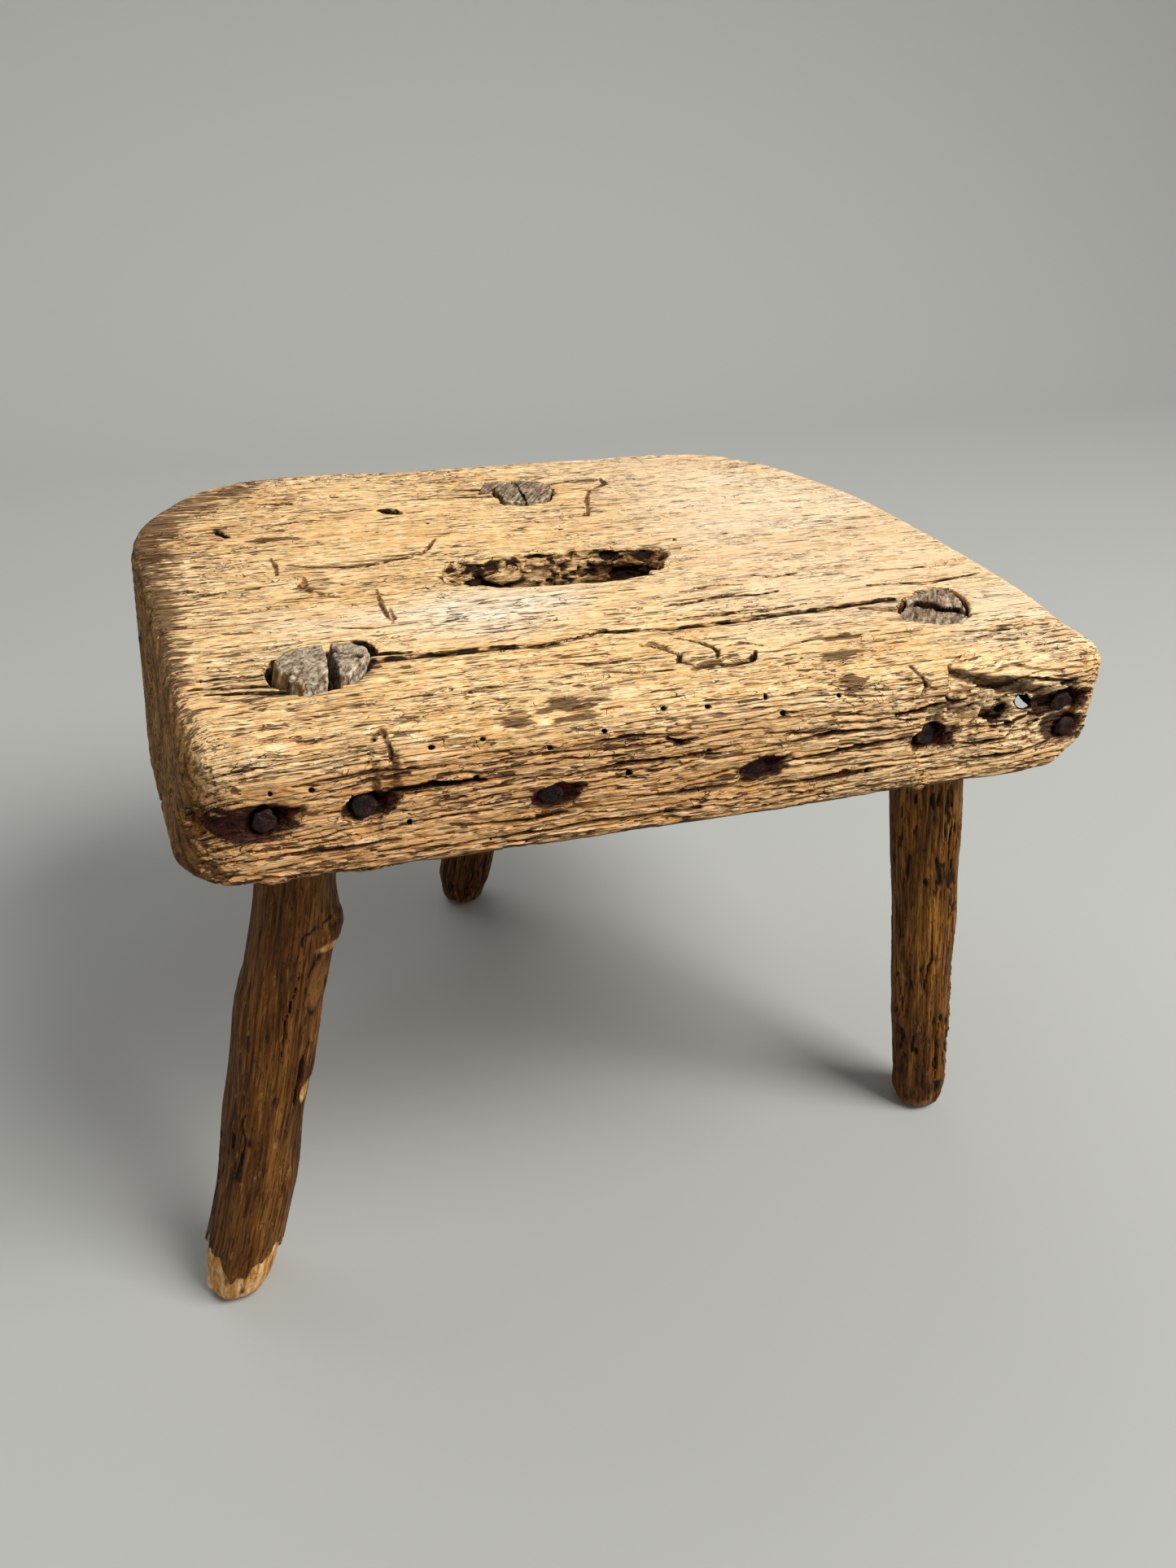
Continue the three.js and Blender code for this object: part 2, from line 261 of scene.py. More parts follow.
def largest(points, faces):
    """Keeps the biggest connected surface, so that no crumb floats and no bubble is left inside."""
    label = np.arange(len(points))
    starts = faces.ravel()
    ends = np.roll(faces, -1, axis=1).ravel()
    while True:
        low = np.minimum(label[starts], label[ends])
        following = label.copy()
        np.minimum.at(following, starts, low)
        np.minimum.at(following, ends, low)
        following = following[following]
        following = following[following]
        if np.array_equal(following, label):
            break
        label = following
    names, sizes = np.unique(label, return_counts=True)
    kept = label == names[np.argmax(sizes)]
    index = np.cumsum(kept) - 1
    return points[kept], index[faces[kept[faces[:, 0]]]]


def normals(points, faces):
    """The outward direction at every point."""
    corner = points[faces]
    across = np.cross(corner[:, 2] - corner[:, 0], corner[:, 3] - corner[:, 1])
    total = np.stack([
        np.bincount(faces.ravel(), np.repeat(across[:, i], 4), len(points)) for i in range(3)
    ], 1)
    return total / np.maximum(np.linalg.norm(total, axis=1, keepdims=True), 1e-9)


def meet(a, b, radius):
    """The solid inside both a and b, with the edge between them rounded."""
    corner = np.hypot(np.maximum(a + radius, 0), np.maximum(b + radius, 0))
    return np.minimum(np.maximum(a, b), -radius) + corner


def polygon(x, y, ring):
    """Signed distance to a closed outline in plan, negative inside."""
    ring = np.asarray(ring, float)
    nearest = None
    turns = None
    for (ax, ay), (bx, by) in zip(ring, np.roll(ring, -1, axis=0)):
        ex, ey = bx - ax, by - ay
        px, py = x - ax, y - ay
        t = np.clip((px * ex + py * ey) / (ex * ex + ey * ey), 0, 1)
        d = (px - t * ex) ** 2 + (py - t * ey) ** 2
        side = ex * py - ey * px > 0
        below, above = (ay <= y), (by <= y)
        crossing = (below & ~above & side).astype(np.int8) - (~below & above & ~side).astype(np.int8)
        nearest = d if nearest is None else np.minimum(nearest, d)
        turns = crossing if turns is None else turns + crossing
    return np.where(turns != 0, -1, 1) * np.sqrt(nearest)


def path_distance(u, v, path):
    """Distance to a crooked line less its half width there; path rows are (u, v, half width)."""
    best = None
    for (au, av, aw), (bu, bv, bw) in zip(path[:-1], path[1:]):
        eu, ev = bu - au, bv - av
        t = np.clip(((u - au) * eu + (v - av) * ev) / (eu * eu + ev * ev), 0, 1)
        d = np.hypot(u - au - t * eu, v - av - t * ev) - (aw + t * (bw - aw))
        best = d if best is None else np.minimum(best, d)
    return best


# ---- Meshes ------------------------------------------------------------------------------------
def make_piece(name, node, points, faces, material, values):
    """The finished piece: its mesh in metres, its painted values, and its place in the frame."""
    mesh = bpy.data.meshes.new(name)
    mesh.vertices.add(len(points))
    mesh.vertices.foreach_set("co", ((points + ORIGIN) / MM).astype(np.float32).ravel())
    mesh.loops.add(faces.size)
    mesh.loops.foreach_set("vertex_index", faces.ravel().astype(np.int32))
    mesh.polygons.add(len(faces))
    mesh.polygons.foreach_set("loop_start", np.arange(len(faces), dtype=np.int32) * 4)
    mesh.polygons.foreach_set("use_smooth", np.ones(len(faces), bool))
    mesh.update(calc_edges=True)
    mesh.validate()
    for key, value in values.items():
        value = np.asarray(value, np.float32)
        kind, field = ("FLOAT", "value") if value.ndim == 1 else ("FLOAT_VECTOR", "vector")
        mesh.attributes.new(key, kind, "POINT").data.foreach_set(field, value.ravel())
    piece = bpy.data.objects.new(name, mesh)
    bpy.context.scene.collection.objects.link(piece)
    mesh.materials.append(material)
    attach(piece, "root")
    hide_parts(node)
    return piece


# ---- Legs: their lines, shared by the mortises -------------------------------------------------
class Leg:
    """A leg's centre line and radius at each height, measured on its CAD solid."""

    KERF = 36.0  # how far down from the top face a tenon may be split

    def __init__(self, node, end, outline):
        self.end = end  # how far the tenon's highest point stands above the top face
        points = cad_points(node)
        self.heights = np.linspace(points[:, 2].min() + 1, TOP - self.KERF, 14)
        centres, radii = [], []
        for height in self.heights:
            ring = cad_rings(node, height)[0]
            centre = (ring.min(0) + ring.max(0)) / 2
            centres.append(centre)
            radii.append(np.hypot(*(ring - centre).T).mean())
        self.centres = np.array(centres)
        self.radii = np.array(radii)
        self.slope = (self.centres[-1] - self.centres[-3]) / (self.heights[-1] - self.heights[-3])
        self.outline = np.array(outline, float) - self.centre(np.array(TOP))

    def centre(self, z):
        beyond = np.maximum(z - self.heights[-1], 0)
        return np.stack([
            np.interp(z, self.heights, self.centres[:, i]) + self.slope[i] * beyond for i in (0, 1)
        ], -1)

    def radius(self, z):
        return np.interp(z, self.heights, self.radii)

    def section(self, u, v, z):
        """Signed distance to the leg's outline, u and v from its centre line."""
        round_part = np.hypot(u, v) - self.radius(z)
        tenon = polygon(u, v, self.outline)
        share = ramp(z, BOTTOM + 8, BOTTOM + 34)
        return round_part * (1 - share) + tenon * share


LEGS = {
    "leg_front_left": Leg("leg_front_left", 5.0, [
        (32.0, 58), (33, 50.5), (41, 41.5), (49, 43), (56, 45), (61, 50), (66.5, 57),
        (66.5, 64), (63, 70), (57, 72.5), (50, 72), (43, 71.5), (36, 66),
    ]),
    "leg_front_right": Leg("leg_front_right", -1.5, [
        (291, 56), (299, 64.5), (311, 72), (319, 75), (325.5, 71), (326.5, 64), (324, 55),
        (316, 42.5), (309, 38), (300, 38), (293, 42), (289.5, 47.5),
    ]),
    "leg_rear": Leg("leg_rear", 2.5, [
        (165, 232), (175, 227.5), (186, 231), (193, 242), (194, 254), (189, 262), (178, 265),
        (170, 263), (164.5, 250),
    ]),
}


# ---- The seat ----------------------------------------------------------------------------------
SEAT_STEP = (1.2, 0.58, 0.58)
SKIN_EDGE = 3.0  # how far round the plank its block of space reaches


def seat_envelope(block):
    """The plank before time got at it: its CAD outline with soft, uneven edges."""
    x, y, z = block.grid()
    plan_x, plan_y = x[:, :, 0], y[:, :, 0]
    levels = [BOTTOM + 10, (BOTTOM + TOP) / 2, TOP - 10]
    right_front = ramp(plan_x, WIDE - 44, WIDE - 10) * ramp(plan_y, 78, 20)
    swell = 0.7 * noise(plan_x / 45, plan_y / 45, 0 * plan_x, 11) - 1.0 + 2.6 * right_front
    plans = []
    for level in levels:
        plans.append(polygon(plan_x, plan_y, cad_rings("seat_slab", level)[0]) + swell)
    rise = (plans[2] - plans[1]) / (levels[2] - levels[1])
    fall = (plans[1] - plans[0]) / (levels[1] - levels[0])
    height = z - levels[1]
    plan = plans[1][:, :, None] + rise[:, :, None] * np.maximum(height, 0)
    plan += fall[:, :, None] * np.minimum(height, 0)
    top = TOP + 0.5 * noise(plan_x / 70, plan_y / 50, 0 * plan_x, 12, 2) - 0.2
    low = BOTTOM - 0.6 + 0.6 * noise(plan_x / 80, plan_y / 60, 0 * plan_x, 13, 2)
    low += 2.6 * np.clip((28 - plan_x) / 32, 0, 1.4) ** 2 * ramp(plan_y, 110, 20)
    low += 4.0 * np.clip((plan_x - 332) / 28, 0, 1.2) ** 2 * ramp(plan_y, 70, 20)
    front = ramp(plan_y, 60, 20)
    right = ramp(plan_x, WIDE - 36, WIDE - 12)
    upper = (5.5 + 6.0 * front + 1.5 * right - 2.5 * right_front)[:, :, None]
    lower = (4.0 + 1.0 * front + 8.0 * right * front)[:, :, None]
    above = meet(plan, z - top[:, :, None], upper.astype(np.float32))
    below = meet(plan, low[:, :, None] - z, lower.astype(np.float32))
    return np.maximum(above, below).astype(np.float32)


def erode(block, skin, low, high, depth):
    """Wears the skin away by depth(x, y, z) between two corners."""
    spans = block.spans(low, high)
    view = block.field[spans]
    view[...] = np.maximum(view, skin[spans] + depth(*block.grid(spans)))


def slot_ledges(x, y, z):
    """How far the slot's wall stands out or is eaten away: rotten at the back and the right end."""
    back = np.clip(ramp(y, 134, 146) + ramp(x, 190, 208) + 0.7 * ramp(x, 138, 118), 0, 1.2)
    ledges = noise(x / 12, y / 5, z / 3.4, 31, 3)
    crumbs = noise(x / 4.0, y / 3, z / 2.4, 34, 2)
    chunks = facets(x + 0.6 * y, 1.6 * z, 6.0, 39)
    return back, (0.4 + 4.6 * back) * ledges + (0.3 + 1.6 * back) * crumbs + 1.5 * back * chunks


def crack(block, skin, path, deep, seed, plane, ragged, bowl=False):
    """A crack or a hollow along path, rows of (along, across, half width), deep below the skin.

    On the top face across is y; on the front face it is the drop below the top.
    """
    path = [tuple(map(float, row)) for row in path]
    along = [row[0] for row in path]
    across = [row[1] for row in path]
    spare = max(row[2] for row in path) + 3 * ragged + 1.5
    if plane == "top":
        low = (min(along) - spare, min(across) - spare, TOP - deep - 8)
        high = (max(along) + spare, max(across) + spare, TOP + 4)
    else:
        low = (min(along) - spare, -8, TOP - max(across) - spare)
        high = (max(along) + spare, deep + 8, TOP - min(across) + spare)

    def tool(x, y, z, spans):
        wobble = ragged * noise(x / 4, y / 2, z / 2, seed, 2)
        gap = path_distance(x, y if plane == "top" else TOP - z, path) + wobble
        sunk = np.maximum(-skin[spans], 0)
        widest = max(row[2] for row in path)
        if bowl:
            return np.maximum(gap + widest * (sunk / deep) ** 2, sunk - deep + wobble)
        return np.maximum(gap + widest * sunk / deep, sunk - deep)

    block.cut(low, high, tool)


def bore(block, start, end, radius):
    """A round hole between two points, such as a beetle or an old nail leaves."""
    a, b = np.array(start, float), np.array(end, float)
    e = b - a
    spare = radius + 2

    def tool(x, y, z, spans):
        t = np.clip(((x - a[0]) * e[0] + (y - a[1]) * e[1] + (z - a[2]) * e[2]) / (e @ e), 0, 1)
        d2 = (x - a[0] - t * e[0]) ** 2 + (y - a[1] - t * e[1]) ** 2 + (z - a[2] - t * e[2]) ** 2
        return np.sqrt(d2) - radius

    block.cut(np.minimum(a, b) - spare, np.maximum(a, b) + spare, tool)


# How loosely each leg's tenon sits in its mortise, in mm, in the order of LEGS
MORTISE_GAPS = (0.9, 0.45, 0.7)


def cut_mortises(block):
    """The three holes that the legs' tenons pass up through, a little wider than the tenons."""
    for number, leg in enumerate(LEGS.values()):
        middle = leg.centre(np.array([BOTTOM, TOP]))
        low = (*(middle.min(0) - 26), BOTTOM - 5)
        high = (*(middle.max(0) + 26), TOP + 5)
        loose = MORTISE_GAPS[number]

        def tool(x, y, z, spans, leg=leg, number=number, loose=loose):
            centre = leg.centre(z)
            u, v = x - centre[..., 0], y - centre[..., 1]
            gap = loose * (1 + 0.9 * noise(x / 7, y / 7, z / 9, 21 + number, 2))
            frayed = 0.8 + 1.4 * noise(x / 4, y / 3, z / 9, 24 + number, 2)
            mouth = 1.6 * loose * ramp(z, TOP - 5, TOP) * frayed
            return leg.section(u, v, z) - np.maximum(gap, 0.35) - mouth

        block.cut(low, high, tool)


SLOT_RING = [
    (117, 131), (124, 126.5), (139, 121.5), (159, 119), (176, 118.3), (193, 120), (207, 124),
    (216, 132), (217, 142), (210, 150), (197, 154), (184, 156.5), (170, 155), (157, 156),
    (147, 154.5), (135, 156), (124, 152), (117, 143),
]


def cut_slot(block):
    """The hand slot: a smooth front lip, a rotten, worm-eaten back wall and right end."""

    def tool(x, y, z, spans):
        ring = polygon(x[:, :, 0], y[:, :, 0], SLOT_RING)[:, :, None]
        sunk = np.maximum(TOP - z, 0)
        back, rough = slot_ledges(x, y, z)
        lean = 0.30 * np.minimum(sunk, 24) * np.minimum(back, 1) - 0.04 * sunk
        lip = 2.0 * ramp(sunk, 4, 0) * ramp(back, 0.8, 0)
        return ring + rough + lean - lip

    block.cut((96, 102, BOTTOM - 6), (236, 174, TOP + 6), tool)


def soften_slot(block, skin):
    """The slot's left end slopes into it, and its back lip has crumbled."""

    def slope(x, y, z):
        away = polygon(x, y, SLOT_RING)
        left = ramp(x, 150, 116) * ramp(y, 126, 136)
        back = ramp(y, 146, 152) * ramp(x, 120, 140)
        torn = 0.6 + 0.9 * noise(x / 8, y / 2.2, z / 3, 36, 2)
        fall = 8.0 * left * ramp(away, 8, -1) + 4.5 * back * ramp(away, 5, 0)
        rot = 10.0 * ramp(np.hypot(x - 211, (y - 145) * 1.2), 12, 3)
        return fall * torn + rot * (0.7 + 0.8 * noise(x / 4, y / 3, z / 3, 38, 2))

    erode(block, skin, (98, 112, TOP - 26), (232, 170, TOP + 4), slope)


TOP_CRACKS = [
    # the long crack between the front tenons, then its branches
    ([(66, 61.5, 2.4), (90, 61.3, 2.3), (118, 61, 2.0), (134, 58.5, 1.4), (150, 62, 1.1),
      (163, 66.5, 1.0)], 22),
    ([(158, 65, 1.0), (189, 61, 1.4), (212, 61.5, 1.8), (232, 63, 1.9), (270, 65, 2.0), (294, 67, 2.2)], 18),
    ([(196, 70, 0.6), (222, 70.5, 1.2), (240, 69.5, 1.1), (256, 72, 0.4)], 9),
    ([(292, 84, 0.4), (306, 83, 1.1), (318, 80, 1.2), (336, 82, 0.9), (350, 85, 0.4)], 10),
    ([(3, 55, 0.6), (16, 53, 1.3), (30, 51, 1.7), (36, 50, 0.9)], 9),
    ([(8, 49, 0.5), (22, 46.5, 1.1), (38, 43, 1.4), (47, 42, 0.6)], 7),
    ([(0, 60, 0.4), (12, 61, 0.9), (28, 60, 0.7)], 5),
    ([(66, 66, 0.9), (74, 67, 1.2), (84, 66, 0.6)], 8),
    ([(124, 263, 0.4), (150, 259, 0.9), (164, 257, 0.9)], 7),
    ([(196, 258, 1.0), (210, 262, 0.9), (226, 261, 0.6)], 6),
    ([(118, 250, 0.3), (145, 247, 0.8), (164, 244, 0.8)], 5),
    ([(42, 180, 0.6), (43.5, 170, 0.9), (43, 159, 0.5)], 2.4),
    ([(82, 132, 0.4), (81, 116, 1.0), (82, 98, 0.6)], 2.4),
    ([(84, 112, 0.3), (84, 100, 0.8), (82, 94, 0.3)], 2),
    ([(48, 170, 0.5), (60, 164, 1.2), (80, 160, 0.8), (96, 165, 1.0), (110, 171, 0.6)], 3),
    ([(108, 168, 0.5), (113, 176, 1.1), (119, 188, 0.5)], 3),
    ([(172, 50, 0.4), (178, 45, 0.9), (184, 38, 1.1), (181, 31, 0.8), (188, 25, 0.4)], 4),
    ([(150, 30, 0.4), (163, 26, 0.9), (176, 25, 0.5)], 4),
    ([(188, 52, 0.4), (196, 46, 1.1), (200, 38, 1.0), (197, 31, 0.5)], 4),
    ([(190, 27, 0.4), (200, 24, 1.2), (210, 27, 1.6), (214, 33, 0.7)], 5),
    ([(204, 40, 0.3), (212, 42, 0.9), (219, 37, 0.5)], 3),
    ([(138, 41, 0.4), (150, 37, 0.8), (164, 38, 0.5)], 3),
    ([(100, 44, 0.3), (118, 43, 0.6), (132, 45, 0.3)], 3),
    ([(60, 96, 0.4), (72, 92, 0.7), (92, 93, 0.3)], 3),
    ([(196, 84, 0.5), (222, 88, 1.0), (240, 86, 0.6), (250, 88, 0.4)], 6),
    ([(247, 108, 0.4), (256, 104, 0.9), (268, 106, 0.4)], 5),
    ([(208, 98, 0.4), (224, 101, 0.8), (238, 99, 0.4)], 4),
    ([(8, 84, 0.3), (24, 82, 0.7), (44, 84, 0.3)], 3), ([(2, 110, 0.3), (20, 108, 0.7), (38, 109, 0.3)], 3),
    ([(88, 30, 0.3), (104, 28, 0.8), (122, 29, 0.3)], 3),
    ([(226, 34, 0.3), (240, 37, 0.8), (262, 36, 0.3)], 3),
    ([(300, 30, 0.4), (322, 27, 0.9), (346, 28, 0.4)], 4),
    ([(304, 100, 0.3), (322, 98, 0.8), (346, 99, 0.3)], 3),
]

FRONT_CRACKS = [
    ([(266.5, 1, 0.4), (269.5, 3.5, 0.6), (271, 7, 0.9), (269, 10, 0.6)], 3),
    ([(58, 21, 0.5), (76, 20, 1.2), (97, 20.5, 0.5)], 9),
    ([(150, 36, 0.3), (176, 38, 0.9), (200, 37, 0.3)], 3),
    ([(86, 38, 0.3), (112, 40, 0.9), (130, 39, 0.3)], 3),
    ([(206, 22, 0.3), (236, 21, 0.9), (262, 23, 0.3)], 3.5),
    ([(164, 14, 0.4), (170, 16, 1.3), (176, 15, 0.4)], 4),
    ([(218, 30, 0.3), (240, 29, 0.9), (268, 28, 0.4)], 4),
    ([(258, 17, 0.4), (272, 16, 1.0), (290, 14, 0.5)], 5),
    ([(24, 40, 0.3), (44, 41, 0.9), (66, 40, 0.3)], 3),
    ([(128, 12, 0.3), (150, 11, 0.8), (168, 12, 0.3)], 2.5),
    ([(126, 24, 0.4), (150, 22, 0.9), (186, 23, 0.4)], 3.5),
    ([(98, 46, 0.4), (140, 45, 0.8), (180, 46, 0.4)], 2.5),
    ([(206, 40, 0.4), (232, 41, 0.9), (262, 40, 0.4)], 3),
    ([(34, 13, 0.3), (58, 12, 0.8), (84, 13, 0.3)], 2.5),
    # thin splits round the broken corner
    ([(306, 3, 0.2), (318, 5, 0.4), (334, 8, 0.3)], 2),
    ([(304, 7, 0.3), (322, 9.5, 0.8), (342, 13, 0.4)], 4),
    ([(284, 33, 0.3), (300, 35, 0.8), (320, 33, 0.4)], 4),
    ([(303, 27.5, 0.4), (316, 29.5, 1.1), (328, 27.5, 0.5)], 6),
    ([(292, 41, 0.3), (312, 42, 0.8), (336, 39, 0.3)], 4),
    ([(334, 13, 0.6), (337, 13.5, 1.4), (340, 13.5, 0.6)], 6),
]

HOLLOWS = [
    # crumbled places on the top face: path, depth
    ([(60, 76, 2.0), (66, 77, 4.2), (69, 70, 3.2)], 11),
    ([(31, 57, 1.8), (32, 64, 2.6), (34, 70, 2.0)], 10),
    ([(157, 252, 1.6), (163, 258, 3.6), (168, 268, 2.4)], 4),
    ([(227, 263, 0.8), (226, 252, 1.4), (217, 246, 1.0)], 2.6),
    ([(214, 243, 0.7), (208, 230, 1.2), (204, 214, 0.8), (200, 206, 1.8)], 2.2),
    ([(54, 152, 0.8), (52, 143, 2.2), (55, 136, 1.0)], 1.8),
    ([(57, 136, 0.8), (61, 130, 1.8), (66, 127, 0.7)], 1.8),
    ([(20.5, 226, 1.0), (22, 220, 1.8), (25, 213, 1.2)], 7),
    ([(101, 236, 2.0), (105, 234, 4.2), (109, 230, 2.2)], 9),
    ([(276, 61, 1.0), (284, 58, 2.0), (292, 54, 1.4)], 2.4),
    ([(59, 3, 0.4), (63, 7, 1.0), (65, 0, 0.8), (71, -5, 0.4)], 2.4),
    ([(58, 0, 0.4), (62, -3, 1.0), (66, -1, 0.4)], 2.4),
    ([(146, 37, 1.0), (152, 38, 1.8), (158, 36, 0.8)], 1.8),
    ([(172, 48, 0.8), (177, 50, 1.8), (182, 44, 1.0)], 1.8),
    ([(184, 24, 1.2), (189, 26, 3.0), (196, 28, 1.4)], 2.4),
]

# The nails in the front edge: x, drop below the top
NAIL_PLACES = [(21, 26.5), (54.7, 26), (121.4, 32.3), (202.7, 32.3), (276.2, 30), (339, 23.5), (344, 35.5)]
# Beetle holes: x and the drop below the top on the front edge, x and y on the top face
WORM_RADIUS = 0.95
WORM_FRONT = [
    (203, 2.5), (163, 2), (180, 3.7), (210, 10.4), (96, 5), (78, 5.6), (93, 20), (37, 16),
    (23.5, 15), (140, 8), (120, 12), (233, 6), (181, 22), (250, 41), (69, 34), (150, 27),
]
WORM_TOP = [(88, 9), (98, 26), (92, 31), (230, 160), (120, 210), (150, 95), (276, 240), (62, 108)]


def cut_nail_places(block, skin):
    """The ragged hollow round each nail in the front edge, longer along the grain."""
    for number, (x, drop) in enumerate(NAIL_PLACES):
        if number == 0:
            path = [(x - 25, drop + 1, 5.5), (x - 8, drop, 7.0), (x + 6, drop - 1, 6.0)]
            path.append((x + 13, drop - 4, 1.5))
            crack(block, skin, path, 2.6, 40, "front", 1.2, bowl=True)
        path = [(x - 8, drop + 2.5, 1.0), (x - 3, drop + 1.0, 5.2), (x + 3, drop - 0.5, 5.8)]
        path.append((x + 12, drop - 3, 1.6))
        crack(block, skin, path, 5.0, 41 + number, "front", 1.3, bowl=True)


BREAK = {"left": 281.0, "right": 350.0}
# The dark crevice across the broken corner: x, way down from the top face over the edge, half width
CREVICE = [
    (281, -2, 0.7), (289, 3.5, 1.8), (299, 8.5, 2.1), (311, 11.5, 2.4), (319, 15, 2.2), (330, 18.5, 1.7),
    (346, 20.5, 1.0),
]
# How deep the broken corner lies, by the way down from that crevice
BREAK_LINE = (-24, -14, -6, -1.5, 0.5, 3, 12, 17, 23, 32)
BREAK_DEPTH = (0, 0.8, 1.5, 1.8, 6.2, 6.0, 5.4, 4.2, 2.4, 0)
# Crumbs left standing in it: x, way down, half length, half height, how far they stand out
BREAK_CRUMBS = [
    (287, 15, 4.2, 3.2, 4.4), (296, 19.5, 5.0, 4.0, 4.0), (284, 24, 4.5, 3.0, 3.0), (331, 26, 5.0, 3.0, 3.4),
    (310, 31, 7.0, 2.8, 2.4), (293, 30, 9.0, 2.6, 2.2), (301, 14, 4.5, 2.2, 3.4),
]


def break_shape(x, y, z):
    """The broken corner's depth below the skin, and how dark the shadows in it are."""
    way = (TOP - z) - y
    ragged = 1.6 * noise(way / 3.0, 0 * x, 0 * z + 4, 51, 2)
    start = BREAK["left"] + ragged + 14.0 * ramp(way, 0, -12)
    right_end = ramp(x, BREAK["right"], BREAK["right"] - 26)
    along = ramp(x, start, start + 1.0) * right_end * ramp(x + 1.6 * way, 250, 268) * ramp(way, 44, 36)
    route = np.array(CREVICE, float)
    wander = 1.3 * noise(x / 13, 0 * y, 0 * z, 52, 2)
    line = way - np.interp(x, route[:, 0], route[:, 1]) + wander + 0.9 * noise(x / 4, way / 3, 0 * z, 62, 2)
    sunk = np.interp(line, BREAK_LINE, BREAK_DEPTH)
    steps = hashed(np.floor((x + 2 * noise(x / 3, way / 2, 0 * z, 59)) / 6.5), 0 * x, 0 * z, 60) - 0.5
    gap = path_distance(x, way + wander, CREVICE) + 1.2 * noise(x / 5, way / 2.2, 0 * z, 58, 2) + 1.6 * steps
    cave = np.exp(-((x - 307) / 7.0) ** 4 - ((way - 22.5) / 2.8) ** 4)
    count = (way + 2.4 * noise(x / 26, way / 9, 0 * z, 53, 2)) / 4.8
    sheet = count - np.floor(count)
    level = hashed(np.floor(count), np.floor((x + 4 * noise(x / 6, way / 3, 0 * z, 56)) / 21), 0 * count, 54)
    below = ramp(line, -2, 2)
    sheets = (2.0 * (level - 0.45) + ramp(sheet, 0.3, 1.0)) * (0.35 + 0.65 * below) * ramp(line, -16, -8)
    crumbs = (1.5 * below + 0.2) * facets(x, 1.5 * way, 9.0, 57)
    for at, down, half, high, out in BREAK_CRUMBS:
        crumbs = crumbs + out * np.exp(-((x - at) / half) ** 4 - ((way - down) / high) ** 4)
    depth = along * np.maximum(sunk + sheets + 4.5 * cave - crumbs, 0)
    dark = ramp(sheet, 0.74, 0.95) * (0.2 + 0.8 * (level > 0.5)) * ramp(line, -10, 2)
    dark = dark + 1.8 * cave + 0.5 * ramp(gap, 2.0, -0.4) + 0.8 * ramp(gap, -0.1, -1.5)
    wall = 1.4 * ramp(x, start - 1.0, start) * ramp(x, start + 3.0, start + 1.4)
    wall = wall * ramp(way, -6, 0) * ramp(way, 24, 18)
    return depth, np.maximum(np.clip(dark, 0, 2) * along * ramp(depth, 0.8, 2.6), wall)


def break_corner(block, skin):
    """The right front corner: the top layers have broken off along the grain over a rotten crevice."""
    low = (BREAK["left"] - 12, -8, TOP - 48)
    high = (BREAK["right"] + 6, 34, TOP + 3)
    erode(block, skin, low, high, lambda x, y, z: break_shape(x, y, z)[0])


def notch_underside(block, skin):
    """The bottom edge is chipped here and there."""

    def depth(x, y, z):
        chips = ramp(noise(x / 22, y / 9, z / 9, 61, 2), 0.25, 0.8) * 0.9
        return chips * ramp(z, BOTTOM + 12, BOTTOM + 4) * ramp(y, 16, 4)

    erode(block, skin, (-10, -8, BOTTOM - 4), (WIDE, 18, BOTTOM + 14), depth)


RING_PITCH = 4.6  # from one growth ring to the next


def rings(x, y, z):
    """Distance out from the tree's heart, in mm: the plank's growth rings follow it."""
    heart_y = 175 + 14 * noise(x / 160, 0 * x, 0 * x, 71)
    heart_z = BOTTOM - 46 + 8 * noise(x / 120, 0 * x, 0 * x + 3, 72)
    wander = 3.0 * noise(x / 60, y / 30, z / 30, 73, 2)
    knot = 7.0 * np.exp(-(((x - 262) / 34) ** 2 + ((y - 215) / 20) ** 2))
    return np.hypot((y - heart_y) * 0.62, z - heart_z) + wander + knot


def layers(x, across, pitch, seed):
    """Counts layers of fibres across the grain; their wandering edges fall on whole numbers."""
    wander = 4.5 * noise(x / 95, across / 34, 0 * x, seed) + 1.5 * noise(x / 32, across / 8, 0 * x, seed + 1)
    wander = wander + 0.35 * pitch * noise(x / 8, across / 2.6, 0 * x, seed + 2)
    return (across + wander) / pitch


def torn_ends(count, x, across, length, share, seed):
    """How far each stretch of a layer is torn out: a stretch at a time, so that its ends are abrupt."""
    row = np.floor(count)
    place = x + 2.5 * noise(x / 4, across / 1.3, 0 * x, seed)
    column = np.floor(place / length + 9 * hashed(row, 0 * row, 0 * row, seed + 1))
    torn = hashed(row, column, 0 * row, seed + 2)
    return ramp(torn, 1 - share, 1.3 - share)


def roughness_of_seat(x, y, z, out):
    """0 where hands and seats have polished the wood, 1 where its fibres stand torn."""
    front = ramp(TOP - z - y, 3, 14) * ramp(y, 30, 12)
    strip = 0.34 * ramp(y, 48, 16)
    left = 0.30 * ramp(x, 78, 24)
    slot = 0.35 * ramp(np.hypot((x - 166) / 75, (y - 140) / 32), 1.1, 0.7)
    back_edge = 0.35 * ramp(y, 250, 285)
    patches = 0.34 * ramp(noise(x / 46, y / 20, z / 20, 92, 2), -0.1, 0.5)
    top = 0.10 + np.maximum.reduce([strip, left, slot, back_edge]) + patches
    side = np.maximum(front, ramp(np.abs(out[:, 1]), 0.5, 0.9) * 0.85)
    under = 0.5 * ramp(-out[:, 2], 0.3, 0.8)
    return np.clip(np.maximum(np.maximum(top, side), under), 0, 1)


